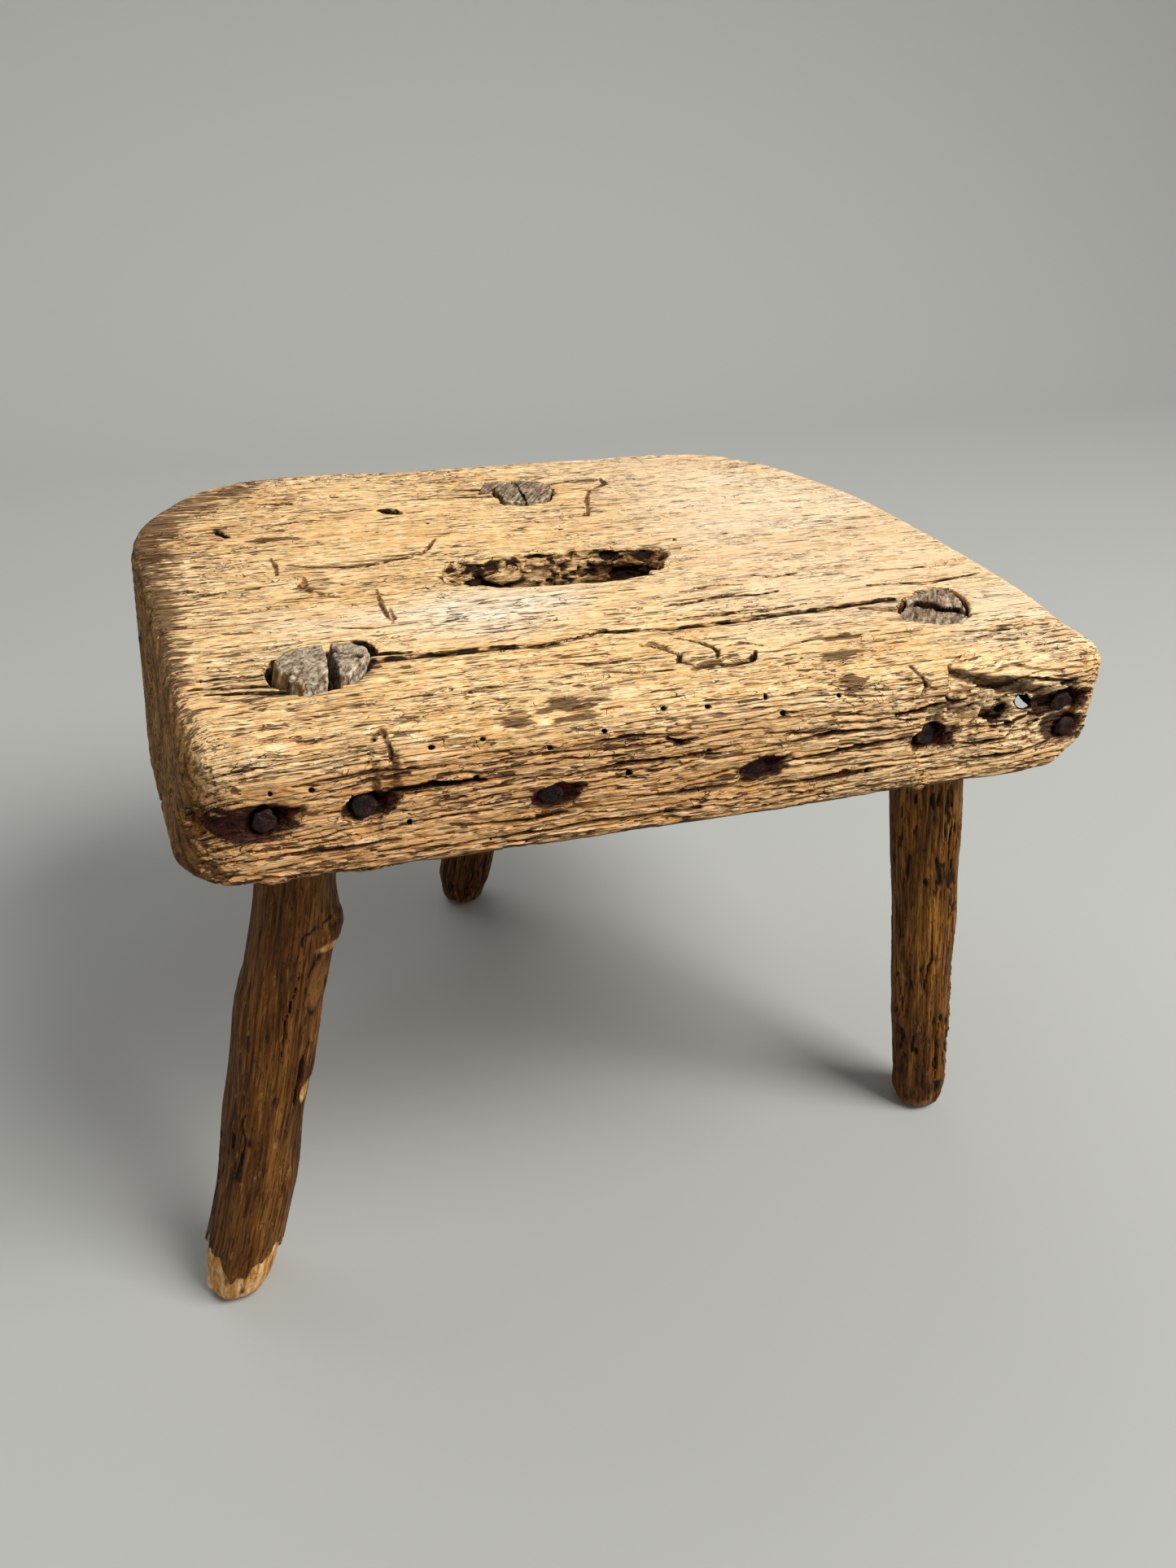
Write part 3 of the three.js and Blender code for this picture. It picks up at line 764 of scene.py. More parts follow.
def weather_seat(points, out):
    """Tears the layers of fibres, raises the hard rings and opens short pits along the grain."""
    x, y, z = points.T
    rough = roughness_of_seat(x, y, z, out)
    end_grain = ramp(np.abs(out[:, 0]), 0.5, 0.85)
    across = y + z
    layer = layers(x, across, 2.9, 83)
    hair = layers(x, across, 1.6, 123)
    torn = torn_ends(layer, x, across, 27.0, 0.10 + 0.72 * rough, 86)
    frayed = torn_ends(hair, x, across, 12.0, 0.14 + 0.50 * rough, 126)
    layer_edge = ramp(layer - np.floor(layer), 0.40, 0.96)
    hair_edge = ramp(hair - np.floor(hair), 0.45, 0.95)
    fibre = noise(x / 22, y / 1.9, z / 1.9, 82, 2)
    soft = 0.5 + 0.5 * np.sin(rings(x, y, z) * 2 * np.pi / RING_PITCH)
    lumps = noise(x / 34, across / 9, 0 * x, 90, 2)
    flakes = ramp(noise(x / 7, y / 1.8, z / 1.8, 88, 2), 0.25, 0.5)
    depth = 0.13 * fibre + 0.10 * soft + 0.45 * rough * lumps
    depth = depth + (0.30 + 0.70 * rough) * torn * layer_edge + (0.18 + 0.35 * rough) * frayed * hair_edge
    depth = depth + (0.15 + 0.45 * rough) * flakes
    pits = ramp(noise(x / 5, y / 5.5, z / 2.0, 94, 2), 0.1, 0.6)
    checks = ramp(np.abs(noise(y / 11, z / 34, 0 * x, 96, 2)), 0.05, 0.0)
    depth = depth * (1 - end_grain) + end_grain * (0.15 * pits + 0.35 * soft + 0.9 * checks)
    keep = 1 - end_grain
    painted = {"layer": layer, "hair": hair, "torn": torn * keep * (0.45 + 0.55 * rough),
               "frayed": frayed * keep * (0.5 + 0.5 * rough), "flakes": flakes * (0.3 + 0.7 * rough)}
    return points - out * depth[:, None], painted


def crack_shade(x, y, z):
    """1 in the cracks and hollows, 0 beside them."""
    shade = np.zeros(len(x))
    near_top, near_front = z > TOP - 24, (y < 16)
    for plane, cracks in (("top", TOP_CRACKS), ("front", FRONT_CRACKS), ("top", HOLLOWS)):
        u, v = (x, y) if plane == "top" else (x, TOP - z)
        for path, deep in cracks:
            rows = np.array(path, float)
            low, high = rows[:, :2].min(0) - 5, rows[:, :2].max(0) + 5
            near = (u > low[0]) & (u < high[0]) & (v > low[1]) & (v < high[1])
            near &= near_top if plane == "top" else near_front
            wobble = 0.45 * noise(u[near] / 4, v[near] / 2, z[near] / 2, 97, 2)
            gap = path_distance(u[near], v[near], rows) + wobble
            shade[near] = np.maximum(shade[near], ramp(gap, 0.5, -0.35) * min(1.0, 0.15 + deep / 9))
    return shade


def seat_cavity(x, y, z, skin_depth, in_slot):
    """How deep in a crack, a hollow, the broken corner or the slot each point lies, 0 to 1; the colour paints
    shade there, and the slot's rotten right end darker.
    """
    drop = TOP - z
    broken, shadow = break_shape(x, y, z)
    cavity = np.maximum(skin_depth - broken - 0.6, 0) / 4.0 * (1 - in_slot)
    ledge = slot_ledges(x, y, z)[1]
    pit = in_slot * np.maximum(ramp(ledge, 0.3, -2.2), 0.85 * ramp(drop + 3 * ledge, 9, 24))
    pit = np.maximum(pit, in_slot * ramp(x, 190, 204) * (0.30 + 0.35 * ramp(ledge, 1.5, -1)))
    cavity = np.maximum(cavity, crack_shade(x, y, z) * (1 - in_slot))
    return np.clip(np.maximum(cavity, np.maximum(pit, 0.34 * shadow)), 0, 1)


def seat_rust(x, y, z):
    """1 where rust has run into the wood round a nail, 0 away from it."""
    rust = np.zeros(len(x))
    for number, (nail_x, nail_drop) in enumerate(NAIL_PLACES):
        long, high, middle = (13.0, 6.0, nail_x + 1) if number else (22.0, 9.5, nail_x - 5)
        if number >= 5:
            long, high, middle = 16.0, 7.5, nail_x - 2
        far = np.hypot((x - middle) / long, (TOP - z - nail_drop) / high)
        edge = 0.30 * noise(x / 7, y / 3, z / 1.7, 95 + number, 2)
        rust = np.maximum(rust, ramp(far + edge, 1.0, 0.5) * ramp(y, 16, 7))
    return rust


# The polished places on the top, where the colour gets a pale painted sheen for a reflection: x, y, half
# length, half width, how wavy, inner edge, strength
POLISHED_WITH_PAINTED_SHEEN = [
    (112, 97, 96, 30, 0.35, 0.2, 0.85), (290, 200, 80, 90, 0.3, 0.3, 0.28), (335, 30, 50, 50, 0.3, 0.3, 0.3),
]


def seat_polish_and_painted_sheen(x, y, out, wavy):
    """How far hands have polished the top, 0 to 1; a pale painted sheen, a painted reflection, goes into the
    colour there.
    """
    polish_and_painted_sheen = np.zeros(len(x))
    for at_x, at_y, long, wide, uneven, inner, amount in POLISHED_WITH_PAINTED_SHEEN:
        far = np.hypot((x - at_x) / long, (y - at_y) / wide) + uneven * wavy
        polish_and_painted_sheen = np.maximum(polish_and_painted_sheen, ramp(far, 1.0, inner) * amount)
    return polish_and_painted_sheen * ramp(out[:, 2], 0.4, 0.9)


# Stains on the top face: x, y, half length, half width, strength
SMUDGES = [
    (47, 205, 15, 6, 0.95), (130, 8, 14, 9, 1.0), (251, 36, 15, 5, 1.0), (245, 21, 12, 6, 1.0),
    (257, 20, 7, 4, 0.8), (62, 14, 14, 4, 0.5), (240, 2, 7, 4, 1.1), (241, -5, 7, 3, 1.0),
    (243, -12, 6, 4, 0.9), (110, 4, 9, 4, 0.8), (74, 164, 46, 6, 0.55), (57, 146, 10, 20, 0.55),
    (216, 262, 18, 5, 0.6), (216, 246, 9, 16, 0.6), (205, 215, 7, 14, 0.6), (270, 140, 30, 5, 0.4),
    (222, 88, 28, 6, 0.5), (184, 33, 26, 14, 0.45), (150, 252, 24, 8, 0.6), (30, 40, 26, 8, 0.5),
    (213, 147, 10, 12, 0.8), (56, 28, 30, 7, 0.55), (20, 120, 22, 30, 0.35), (92, 160, 26, 8, 0.5),
    (10, 200, 22, 30, 0.4), (70, 250, 34, 6, 0.45), (262, 46, 26, 7, 0.5), (160, 20, 12, 5, 0.6),
    (20, 62, 18, 10, 0.5), (300, 60, 16, 10, 0.35),
]


def seat_grime_and_shade(x, y, z, out, wavy):
    """How far the wood is darkened: old dirt on the left end, in stains and round the legs; painted shade
    underneath and low on the front face; and the back-facing faces darker.
    """
    drop = TOP - z
    uneven = 0.5 + 0.5 * noise(x / 14, y / 3.2, z / 3.2, 104, 3)
    dashes = 0.5 + 0.5 * noise(x / 5, y / 1.3, z / 1.3, 108, 2)
    left = ramp(x + 16 * (dashes - 0.5) + 12 * (uneven - 0.5), 10, -6)
    back_left = ramp(x + 0.7 * (262 - y) + 30 * (dashes - 0.5), 46, 16) * ramp(y, 205, 245) * 0.8
    # painted shade: the front face darker towards its bottom
    under = ramp(drop, 30, 54) * ramp(y, 40, 10) * 0.5
    # painted shade on the faces turned downwards
    below = ramp(-out[:, 2], 0.3, 0.9) * 0.75
    # the back-facing faces darker
    back = ramp(out[:, 1], 0.4, 0.9) * 0.45
    grime_and_shade = np.clip(left + back_left + under + below + back, 0, 1)
    for stain_x, stain_y, long, wide, amount in SMUDGES:
        far = np.hypot((x - stain_x) / long, (y - stain_y) / wide)
        spot = ramp(far + 0.8 * (uneven - 0.5) + 0.9 * (dashes - 0.5), 1.05, 0.45) * amount
        grime_and_shade = np.maximum(grime_and_shade, spot * ramp(out[:, 2], -0.2, 0.3))
    for leg in LEGS.values():
        centre = leg.centre(np.array(TOP))
        far = np.hypot(x - centre[0], y - centre[1]) + 4 * wavy
        grime_and_shade = np.maximum(grime_and_shade, 0.5 * ramp(far, 26, 17) * ramp(z, TOP - 8, TOP - 4))
    return grime_and_shade


def seat_values(points, out, skin_depth, painted, outer):
    """What the seat's material needs to know at every point."""
    x, y, z = points.T
    way = TOP - z - y
    wavy = noise(x / 40, y / 22, z / 22, 101, 2)
    in_slot = ramp(polygon(x, y, SLOT_RING), 10, 5) * ramp(skin_depth, 0.4, 1.8) * ramp(z, TOP + 2, TOP - 1)
    inside_break = ramp(break_shape(x, y, z)[0], 0.5, 1.5)
    near_end = ramp(x, 24, 12) + ramp(x, WIDE - 40, WIDE - 28)
    values = {key: value * outer if key in ("torn", "frayed", "flakes") else value
              for key, value in painted.items()}
    values.update({
        "cavity": seat_cavity(x, y, z, skin_depth, in_slot),
        "rot": in_slot * (0.55 + 0.45 * ramp(x, 195, 210)),
        "rust": seat_rust(x, y, z),
        "polish_and_painted_sheen": seat_polish_and_painted_sheen(x, y, out, wavy),
        "grime_and_shade": seat_grime_and_shade(x, y, z, out, wavy),
        "end_grain": ramp(np.abs(out[:, 0]), 0.55, 0.85) * (1 - inside_break) * near_end,
        "rings": rings(x, y, z),
        "tan": ramp(way, 2, 16) * ramp(y, 34, 14) * (0.30 + 0.70 * ramp(x, 260, 150)),
        # a dull pale painted sheen on the right of the top
        "dull_painted_sheen": ramp(x + 30 * wavy, 170, 250) * ramp(y, 20, 60) * ramp(out[:, 2], 0.6, 0.95),
        "fresh": inside_break * ramp(way, 1, 9),
    })
    return values


# Nail holes left empty in the broken corner: the first goes right through. Start, end, radius.
EMPTY_HOLES = [
    ((313, -6, TOP - 16.4), (363, 52, TOP - 51.6), 3.1),
    ((309, -6, TOP - 22.5), (313, 14, TOP - 25), 2.4),
]


def build_seat(material):
    """The seat: its plank, everything cut and worn from it, and what its material needs to know."""
    low = (-LEFT_BULGE - SKIN_EDGE, -FRONT_BULGE - SKIN_EDGE, BOTTOM - SKIN_EDGE)
    high = (WIDE + SKIN_EDGE, DEEP + SKIN_EDGE, TOP + SKIN_EDGE)
    block = Block(low, high, np.array(SEAT_STEP) * COARSE)
    skin = seat_envelope(block)
    block.field = skin.copy()
    break_corner(block, skin)
    notch_underside(block, skin)
    soften_slot(block, skin)
    cut_slot(block)
    cut_mortises(block)
    for number, (path, deep) in enumerate(TOP_CRACKS):
        crack(block, skin, path, deep, 200 + number, "top", 0.55)
    for number, (path, deep) in enumerate(FRONT_CRACKS):
        crack(block, skin, path, deep, 240 + number, "front", 0.5)
    for number, (path, deep) in enumerate(HOLLOWS):
        crack(block, skin, path, deep, 260 + number, "top", 1.0, bowl=True)
    cut_nail_places(block, skin)
    for x, drop in WORM_FRONT:
        bore(block, (x, -4, TOP - drop + 2), (x + 2, 14, TOP - drop - 8), WORM_RADIUS)
    for x, y in WORM_TOP:
        bore(block, (x, y, TOP + 2), (x + 2, y + 1, TOP - 12), WORM_RADIUS)
    for start, end, radius in EMPTY_HOLES:
        bore(block, start, end, radius)
    points, faces = largest(*block.surface())
    out = normals(points, faces)
    index = np.clip(np.round((points - block.low) / block.step).astype(int), 0, np.array(skin.shape) - 1)
    skin_depth = -skin[tuple(index.T)]
    outer = ramp(skin_depth - 1.1 * break_shape(*points.T)[0], 6, 2)
    moved, painted = weather_seat(points, out)
    points = points + (moved - points) * outer[:, None]
    values = seat_values(points, out, skin_depth, painted, outer)
    return make_piece("seat", "seat_slab", points, faces, material, values)


# ---- The legs ----------------------------------------------------------------------------------
LEG_STEP = (0.7, 0.7, 1.1)
LEG_REACH = 25.0  # how far round its centre line a leg's block of space reaches
LEG_GROWTH = {
    # what the stick gains over its CAD solid: height, extra radius, shift to the right of the front view
    "leg_front_left": [
        (0, 4.6, -1.0), (6, 4.8, -0.9), (14, 4.0, -0.5), (22, 3.2, -0.4), (39, 2.4, -0.2), (58, 2.2, -0.2),
        (77, 1.5, -1.7), (96, 1.3, -2.7), (115, 1.5, -2.4), (148, 1.1, -2.8), (164, 0.8, -0.9), (190, 0.8, 0),
    ],
    "leg_front_right": [
        (0, 3.9, 0.9), (6, 3.7, 1.3), (20, 2.5, 1.9), (45, 1.8, 1.1), (58, 2.4, 1.2), (75, 2.0, 1.1),
        (96, 1.4, 0.9), (125, 1.5, 0.8), (155, 1.7, 0), (190, 1.8, 0),
    ],
    "leg_rear": [(0, 0.6, -1.6), (40, 0.8, -1.0), (100, 0.8, 0)],
}

FRONT_TURN = math.radians(18.9)  # the front view is taken from this far round to the left


def leg_growth(name, z):
    """A stick's extra radius and its sideways shift at each height."""
    rows = np.array(LEG_GROWTH[name], float)
    shift = np.interp(z, rows[:, 0], rows[:, 2])
    return np.interp(z, rows[:, 0], rows[:, 1]), shift * math.cos(FRONT_TURN), -shift * math.sin(FRONT_TURN)


def bulge(angle, z, at_angle, at_z, wide, high):
    """A smooth bump on a leg, 1 at its middle; wide is in radians and high in mm."""
    turn = np.angle(np.exp(1j * (angle - at_angle)))
    return np.exp(-((turn / wide) ** 2 + ((z - at_z) / high) ** 2))


def bark_edge(angle, z):
    """1 on the front left foot's whittled end, 0 above its ragged bark edge."""
    edge = 20 + 9 * np.abs(np.sin(angle + 1.9)) + 5 * noise(np.cos(angle) * 3, np.sin(angle) * 3, 0 * z, 380)
    edge = edge + 3.5 * noise(np.cos(angle) * 8, np.sin(angle) * 8, 0 * z, 381)
    return ramp(z, edge + 0.8, edge - 0.8)


def front_left_shape(angle, z):
    """The trimmed branch stub and the scar under it, and the freshly whittled foot."""
    stub = 3.6 * bulge(angle, z, -0.35, 181, 0.55, 8)
    above = -1.8 * bulge(angle, z, -0.2, 205, 0.8, 14)
    scar = -2.2 * bulge(angle, z, -0.92, 161, 0.22, 10)
    rim = 1.2 * bulge(angle, z, -0.92, 161, 0.40, 15)
    chip = -1.8 * bulge(angle, z, -0.62, 106, 0.16, 5)
    whittled = bark_edge(angle, z) * (-1.5 - 0.7 * np.abs(np.sin(angle * 3.5 + 0.6)))
    toe = -1.4 * ramp(z, 9, 0) ** 2
    return stub + above + scar + rim + chip + whittled + toe


def front_right_shape(angle, z):
    """A straight stick, eaten away along one side low down, with a blunt rounded foot."""
    lumps = 0.7 * bulge(angle, z, -1.9, 120, 0.5, 18) - 0.9 * bulge(angle, z, -0.6, 150, 0.3, 16)
    teeth = 0.6 + 0.7 * np.sin(z * 0.9) * np.sin(z * 0.37)
    eaten = -1.6 * bulge(angle, z, -0.35, 52, 0.5, 40) * teeth
    step = 0.9 * ramp(z, 66, 63) * bulge(angle, z, -2.9, 50, 0.7, 30)
    toe = -1.8 * ramp(z, 12, 0) ** 2
    return lumps + eaten + step + toe


def rear_shape(angle, z):
    toe = -0.8 * ramp(z, 6, 0) ** 2
    return 0.8 * bulge(angle, z, -1.2, 90, 0.6, 22) + toe


LEG_SHAPES = {
    "leg_front_left": front_left_shape, "leg_front_right": front_right_shape, "leg_rear": rear_shape,
}

# Cuts down into each tenon's end: path of (x, y, half width) on the top face, depth, and taper
TENON_CUTS = {
    "leg_front_left": [
        ([(52.2, 76, 1.7), (52.2, 64, 1.6), (52.4, 52, 1.9), (52.2, 40, 2.4)], 32),
        ([(53, 66, 0.6), (58, 63, 0.8), (63, 57, 0.5), (68, 55, 0.4)], 7),
    ],
    "leg_front_right": [
        ([(289, 55.5, 1.5), (296, 60.5, 2.0), (303, 63.0, 2.8), (311, 59.0, 3.6), (318, 53.0, 4.0),
          (321.5, 49.0, 3.8), (320, 43, 3.0), (316, 36, 2.0)], 26),
    ],
    "leg_rear": [
        ([(176, 268, 1.2), (176, 256, 1.0), (175.5, 244, 0.5), (175, 226, 0.35)], 30),
        ([(184, 238, 0.2), (190, 243, 0.4), (195, 244, 0.5)], 5),
    ],
}


def tenon_height(name, x, y):
    """How high a tenon's weathered end stands at each place."""
    if name == "leg_front_left":
        left = ramp(x, 52.5, 51.5)
        height = 5.6 * left + 4.0 * (1 - left)
        broken = ramp(y + 2.5 * noise(x / 5, 0 * y, 0 * x, 304, 2), 54, 44)
        height = height + 0.5 * facets(x, y, 5.5, 301) + 0.2 * noise(x / 2, y / 2, 0 * x, 306)
        height = height - (2.2 + 1.6 * facets(x, 0.7 * y, 4.6, 305)) * broken
        return TOP + height - 1.6 * ramp(y, 60, 74) * left
    if name == "leg_front_right":
        saw = 0.22 * np.sin((x * 0.5 + y * 0.87) * 2 * np.pi / 2.6)
        lower = ramp(y - 0.3 * (x - 300), 60, 56)
        chip = 1.6 * ramp(np.hypot(x - 316.5, y - 42), 4, 2)
        return TOP - 1.0 - 1.4 * lower + saw + chip + 0.35 * noise(x / 5, y / 5, 0 * x, 302, 2)
    return TOP + 2.4 + 0.5 * noise(x / 4, y / 4, 0 * x, 303, 2) - 0.02 * ((x - 179) ** 2 + (y - 246) ** 2) / 6


def leg_field(name, leg, block):
    """The leg's solid: its stem, foot and tenon."""
    u, v, z = block.grid()
    growth, shift_u, shift_v = leg_growth(name, z)
    below = ramp(z, BOTTOM + 18, BOTTOM)
    u0, v0 = u - shift_u * below, v - shift_v * below
    angle = np.arctan2(v0, u0)
    stem = leg.section(u0, v0, z)
    seed = 310 + 10 * list(LEGS).index(name)
    shape = LEG_SHAPES[name](angle, z) * below
    flats = 0.7 * noise(np.cos(angle) * 1.9 + 7, np.sin(angle) * 1.9, z / 48, seed, 2)
    ribs = 0.45 * noise(u / 2.6, v / 2.6, z / 26, seed + 3, 2)
    stem = stem - shape - (flats + ribs) * (0.4 + 0.6 * below) - growth * below
    foot = meet(stem, 0.0 - z, 4.6)
    top_x, top_y = (leg.centre(np.array(TOP))[i] + value for i, value in enumerate((u, v)))
    end = z - tenon_height(name, top_x[:, :, 0], top_y[:, :, 0])[:, :, None]
    chips = 0.9 * noise(u / 4.2, v / 4.2, z / 4, seed + 9, 2) * ramp(z, TOP - 10, TOP - 4)
    field = np.where(z > BOTTOM, meet(stem + chips, end, 0.7), foot)
    for number, (path, deep) in enumerate(TENON_CUTS[name]):
        gap = path_distance(top_x, top_y, path) + 0.35 * noise(u / 3, v / 3, z / 6, seed + 5 + number, 2)
        widest = max(row[2] for row in path)
        sunk = TOP - z
        tool = np.maximum(gap + 0.7 * widest * np.maximum(sunk, 0) / deep, sunk - deep)
        field = np.maximum(field, -tool)
    return field.astype(np.float32)


# Drying cracks up each leg: angle, height of the middle, half length, half width
LEG_CRACKS = {
    "leg_front_left": [
        (-0.92, 119, 18, 2.0), (-1.5, 150, 26, 0.45), (-2.2, 90, 22, 0.5), (-1.1, 60, 18, 0.4),
        (-0.55, 148, 12, 0.6),
    ],
    "leg_front_right": [
        (-1.4, 190, 30, 0.5), (-1.9, 110, 26, 0.6), (-0.8, 80, 20, 0.7), (-1.5, 45, 22, 0.7),
    ],
    "leg_rear": [(-1.3, 80, 24, 0.5), (-2.0, 140, 22, 0.5), (-1.6, 30, 18, 0.6)],
}


def leg_cracks(name, block):
    """Cuts the long drying cracks up a leg's stem."""
    u, v, z = block.grid()
    growth, shift_u, shift_v = leg_growth(name, z)
    u, v = u - shift_u, v - shift_v
    angle = np.arctan2(v, u)
    rho = np.hypot(u, v)
    radius = LEGS[name].radius(z) + growth
    for number, (at, middle, half, wide) in enumerate(LEG_CRACKS[name]):
        wander = 0.12 * noise(0 * z, 0 * z, z / 9, 340 + number, 2)
        side = np.abs(np.angle(np.exp(1j * (angle - at - wander)))) * radius
        ends = np.abs(z - middle) / half
        tool = np.maximum(side - wide * (1 - ends ** 2) * ramp(rho, radius - 7, radius), (ends - 1) * 10)
        tool = np.maximum(tool, radius - 7 - rho)
        block.field = np.maximum(block.field, -tool).astype(np.float32)


# How rough each leg is, and what share of it is pitted
LEG_ROUGHNESS = {"leg_front_left": (0.9, 0.08), "leg_front_right": (1.3, 0.62), "leg_rear": (1.0, 0.4)}


def weather_leg(name, local, out):
    """How far each point sinks: fibres all over, torn flecks up the stem, pits on the cut ends."""
    u, v, z = local.T
    seed = 360 + 10 * list(LEGS).index(name)
    rough, pitted = LEG_ROUGHNESS[name]
    angle = np.arctan2(v, u)
    around = angle * 15
    strand = noise(u / 1.3, v / 1.3, z / 24, seed, 2)
    torn = ramp(noise(u / 1.9, v / 1.9, z / 9, seed + 2, 2), 0.16, 0.42)
    patch = ramp(noise(u / 14, v / 14, z / 26, seed + 6, 2), 0.25 - pitted, 0.55 - pitted)
    level = ramp(np.abs(out[:, 2]), 0.6, 0.9)
    layer = np.round(noise(around / 11, 0 * z, z / 40, seed + 8) * 3) / 3
    bark = 1.0 if name != "leg_front_left" else 1 - 0.7 * bark_edge(angle, z)
    stem = (0.30 * strand + 1.0 * torn * patch + 0.35 * layer) * rough * bark
    pits = 0.3 * noise(u / 1.6, v / 1.6, z / 1.6, seed + 4, 2)
    return stem * (1 - level) + pits * level, torn * patch * (1 - level) * bark


def leg_values(name, leg, local, out, torn):
    """What a leg's material needs to know at every point."""
    u, v, z = local.T
    angle = np.arctan2(v, u)
    growth = leg_growth(name, z)[0]
    rho = np.hypot(u, v)
    # painted shade: darker the deeper a point lies in the stem's pits, cracks and torn places
    sunk = np.maximum(leg.radius(z) + growth - rho - 2.2, 0) * (z < BOTTOM)
    cavity = sunk / 4.0 + 0.8 * torn
    uneven = noise(u / 6, v / 6, z / 9, 390, 2)
    foot = {"leg_front_left": 0.0, "leg_front_right": 5.0, "leg_rear": 3.0}[name]
    bare = ramp(z + 5 * uneven, foot + 3, foot - 3) * 0.5
    scar = np.zeros(len(z))
    if name == "leg_front_left":
        bare = bark_edge(angle, z) * ramp(uneven + 0.4 * np.abs(np.sin(angle + 1.9)), -0.75, -0.25)
        bare = np.maximum(bare, 0.95 * ramp(bulge(angle, z, -0.62, 106, 0.2, 6), 0.3, 0.6))
        edge = bulge(angle, z, -0.75, 177, 0.40, 3.2)
        bare = np.maximum(bare, 0.85 * ramp(edge + 0.4 * uneven, 0.45, 0.8))
        broken_up = noise(5 * angle, 0 * z, z / 3.5, 392, 2)
        oval = bulge(angle, z, -0.92, 161, 0.30, 12) + 0.10 * broken_up
        scar = ramp(oval, 0.35, 0.6)
        # dark lines of painted shade drawn for thin cracks round the scar and above it
        left_side = 0.35 + 0.65 * ramp(angle, -0.85, -1.05)
        rim = ramp(np.abs(oval - 0.30), 0.12, 0.02) * ramp(broken_up, -0.5, 0.1)
        cavity = cavity + 0.75 * rim * left_side
        arc = bulge(angle, z, -0.8, 181, 0.6, 7) + 0.16 * broken_up
        upper_rim = ramp(np.abs(arc - 0.3), 0.11, 0.02) * ramp(broken_up, -0.3, 0.2)
        cavity = cavity + 0.8 * upper_rim * ramp(z, 176, 180)
    crown = ramp(z, TOP - 9, TOP - 4)
    side = ramp(out[:, 2], 0.75, 0.35)
    outside = ramp(polygon(u, v, leg.outline), -2.6, -1.2)
    # painted shade on the walls of the splits cut down into the tenon's end
    kerf_shade = ramp(z, BOTTOM, BOTTOM + 6) * side * (1 - outside)
    leftward = crown * side * outside * ramp(-out[:, 0], 0.45, 0.8)
    chipped = crown * outside * ramp(out[:, 2], 0.93, 0.75) * (1 - leftward)
    if name == "leg_front_left":
        chipped = np.maximum(chipped, 0.45 * crown * ramp(uneven, -0.5, 0.3))
    # painted shade: the front right leg darker towards its foot
    shade_low_down = 0.5 * ramp(z, 120, 40) if name == "leg_front_right" else 0 * z
    cavity = np.maximum(np.clip(cavity, 0, 1) * (1 - crown), 0.85 * kerf_shade)
    return {
        "cavity": cavity, "bare": bare, "scar": scar, "crown": crown * (1 - kerf_shade), "cut_side": leftward,
        "chipped": chipped, "shade_low_down": shade_low_down, "grain": local / MM,
    }


def build_leg(name, material):
    leg = LEGS[name]
    high = TOP + max(leg.end, 0) + 5
    block = Block((-LEG_REACH, -LEG_REACH, -2.2), (LEG_REACH, LEG_REACH, high), np.array(LEG_STEP) * COARSE)
    block.field = leg_field(name, leg, block)
    leg_cracks(name, block)
    local, faces = largest(*block.surface())
    out = normals(local, faces)
    depth, torn = weather_leg(name, local, out)
    standing = local[:, 2] < 1.0
    values = leg_values(name, leg, local, out, torn)
    moved = local - out * (depth * ~standing)[:, None]
    points = moved.copy()
    points[:, :2] += leg.centre(moved[:, 2])
    points[:, 2] = np.maximum(points[:, 2], 0.0)
    return make_piece(name.replace("leg_", "stick_"), name, points, faces, material, values)


# ---- Wedges, shims and nails -------------------------------------------------------------------
def cad_block(node, step, spare):
    """A CAD node's own solid as a field: distance to its faces, inside found by counting crossings."""
    points = cad_points(node)
    tree = BVHTree.FromPolygons(points.tolist(), cad_triangles(node).tolist())
    block = Block(points.min(0) - spare, points.max(0) + spare, np.array(step) * COARSE)
    down = Vector((0, 0, -1))
    for i, x in enumerate(block.axes[0]):
        for j, y in enumerate(block.axes[1]):
            levels = []
            start = Vector((x + 0.013, y + 0.017, block.axes[2][-1] + 1))
            hit = tree.ray_cast(start, down)
            while hit[0] is not None:
                levels.append(hit[0].z)
                hit = tree.ray_cast(hit[0] + down * 1e-3, down)
            for k, z in enumerate(block.axes[2]):
                far = tree.find_nearest(Vector((x, y, z)))[3]
                inside = sum(level > z for level in levels) % 2
                block.field[i, j, k] = -far if inside else far
    return block


def build_sliver(name, node, seed, rough, sunk, material):
    """A wedge or a shim: its CAD solid, split and worn along its grain, its end sunk in the kerf."""
    block = cad_block(node, (0.55, 0.55, 0.8), 1.6)
    x, y, z = block.grid()
    worn = 0.35 * noise(x / 1.8, y / 1.8, z / 9, seed, 2)
    worn = worn + rough * noise(x / 2.5, y / 2.5, z / 2.5, seed + 3, 2)
    top = cad_points(node)[:, 2].max()
    split = z - top + sunk * (1 + 0.5 * noise(x / 2, y / 2, 0 * z, seed + 5))
    block.field = np.maximum(block.field + 0.25 + worn, split).astype(np.float32)
    points, faces = largest(*block.surface())
    out = normals(points, faces)
    depth = top - points[:, 2]
    values = {key: 0 * depth for key in ("bare", "scar", "cut_side", "chipped", "shade_low_down")}
    values["crown"] = ramp(out[:, 2], 0.4, 0.8) * (1.0 if sunk < 2 else 0.15)
    # painted shade: darker the further below its top, down in the kerf
    values["cavity"] = ramp(depth, 0.5, 6)
    values["grain"] = points / MM
    return make_piece(name, node, points, faces, material, values)


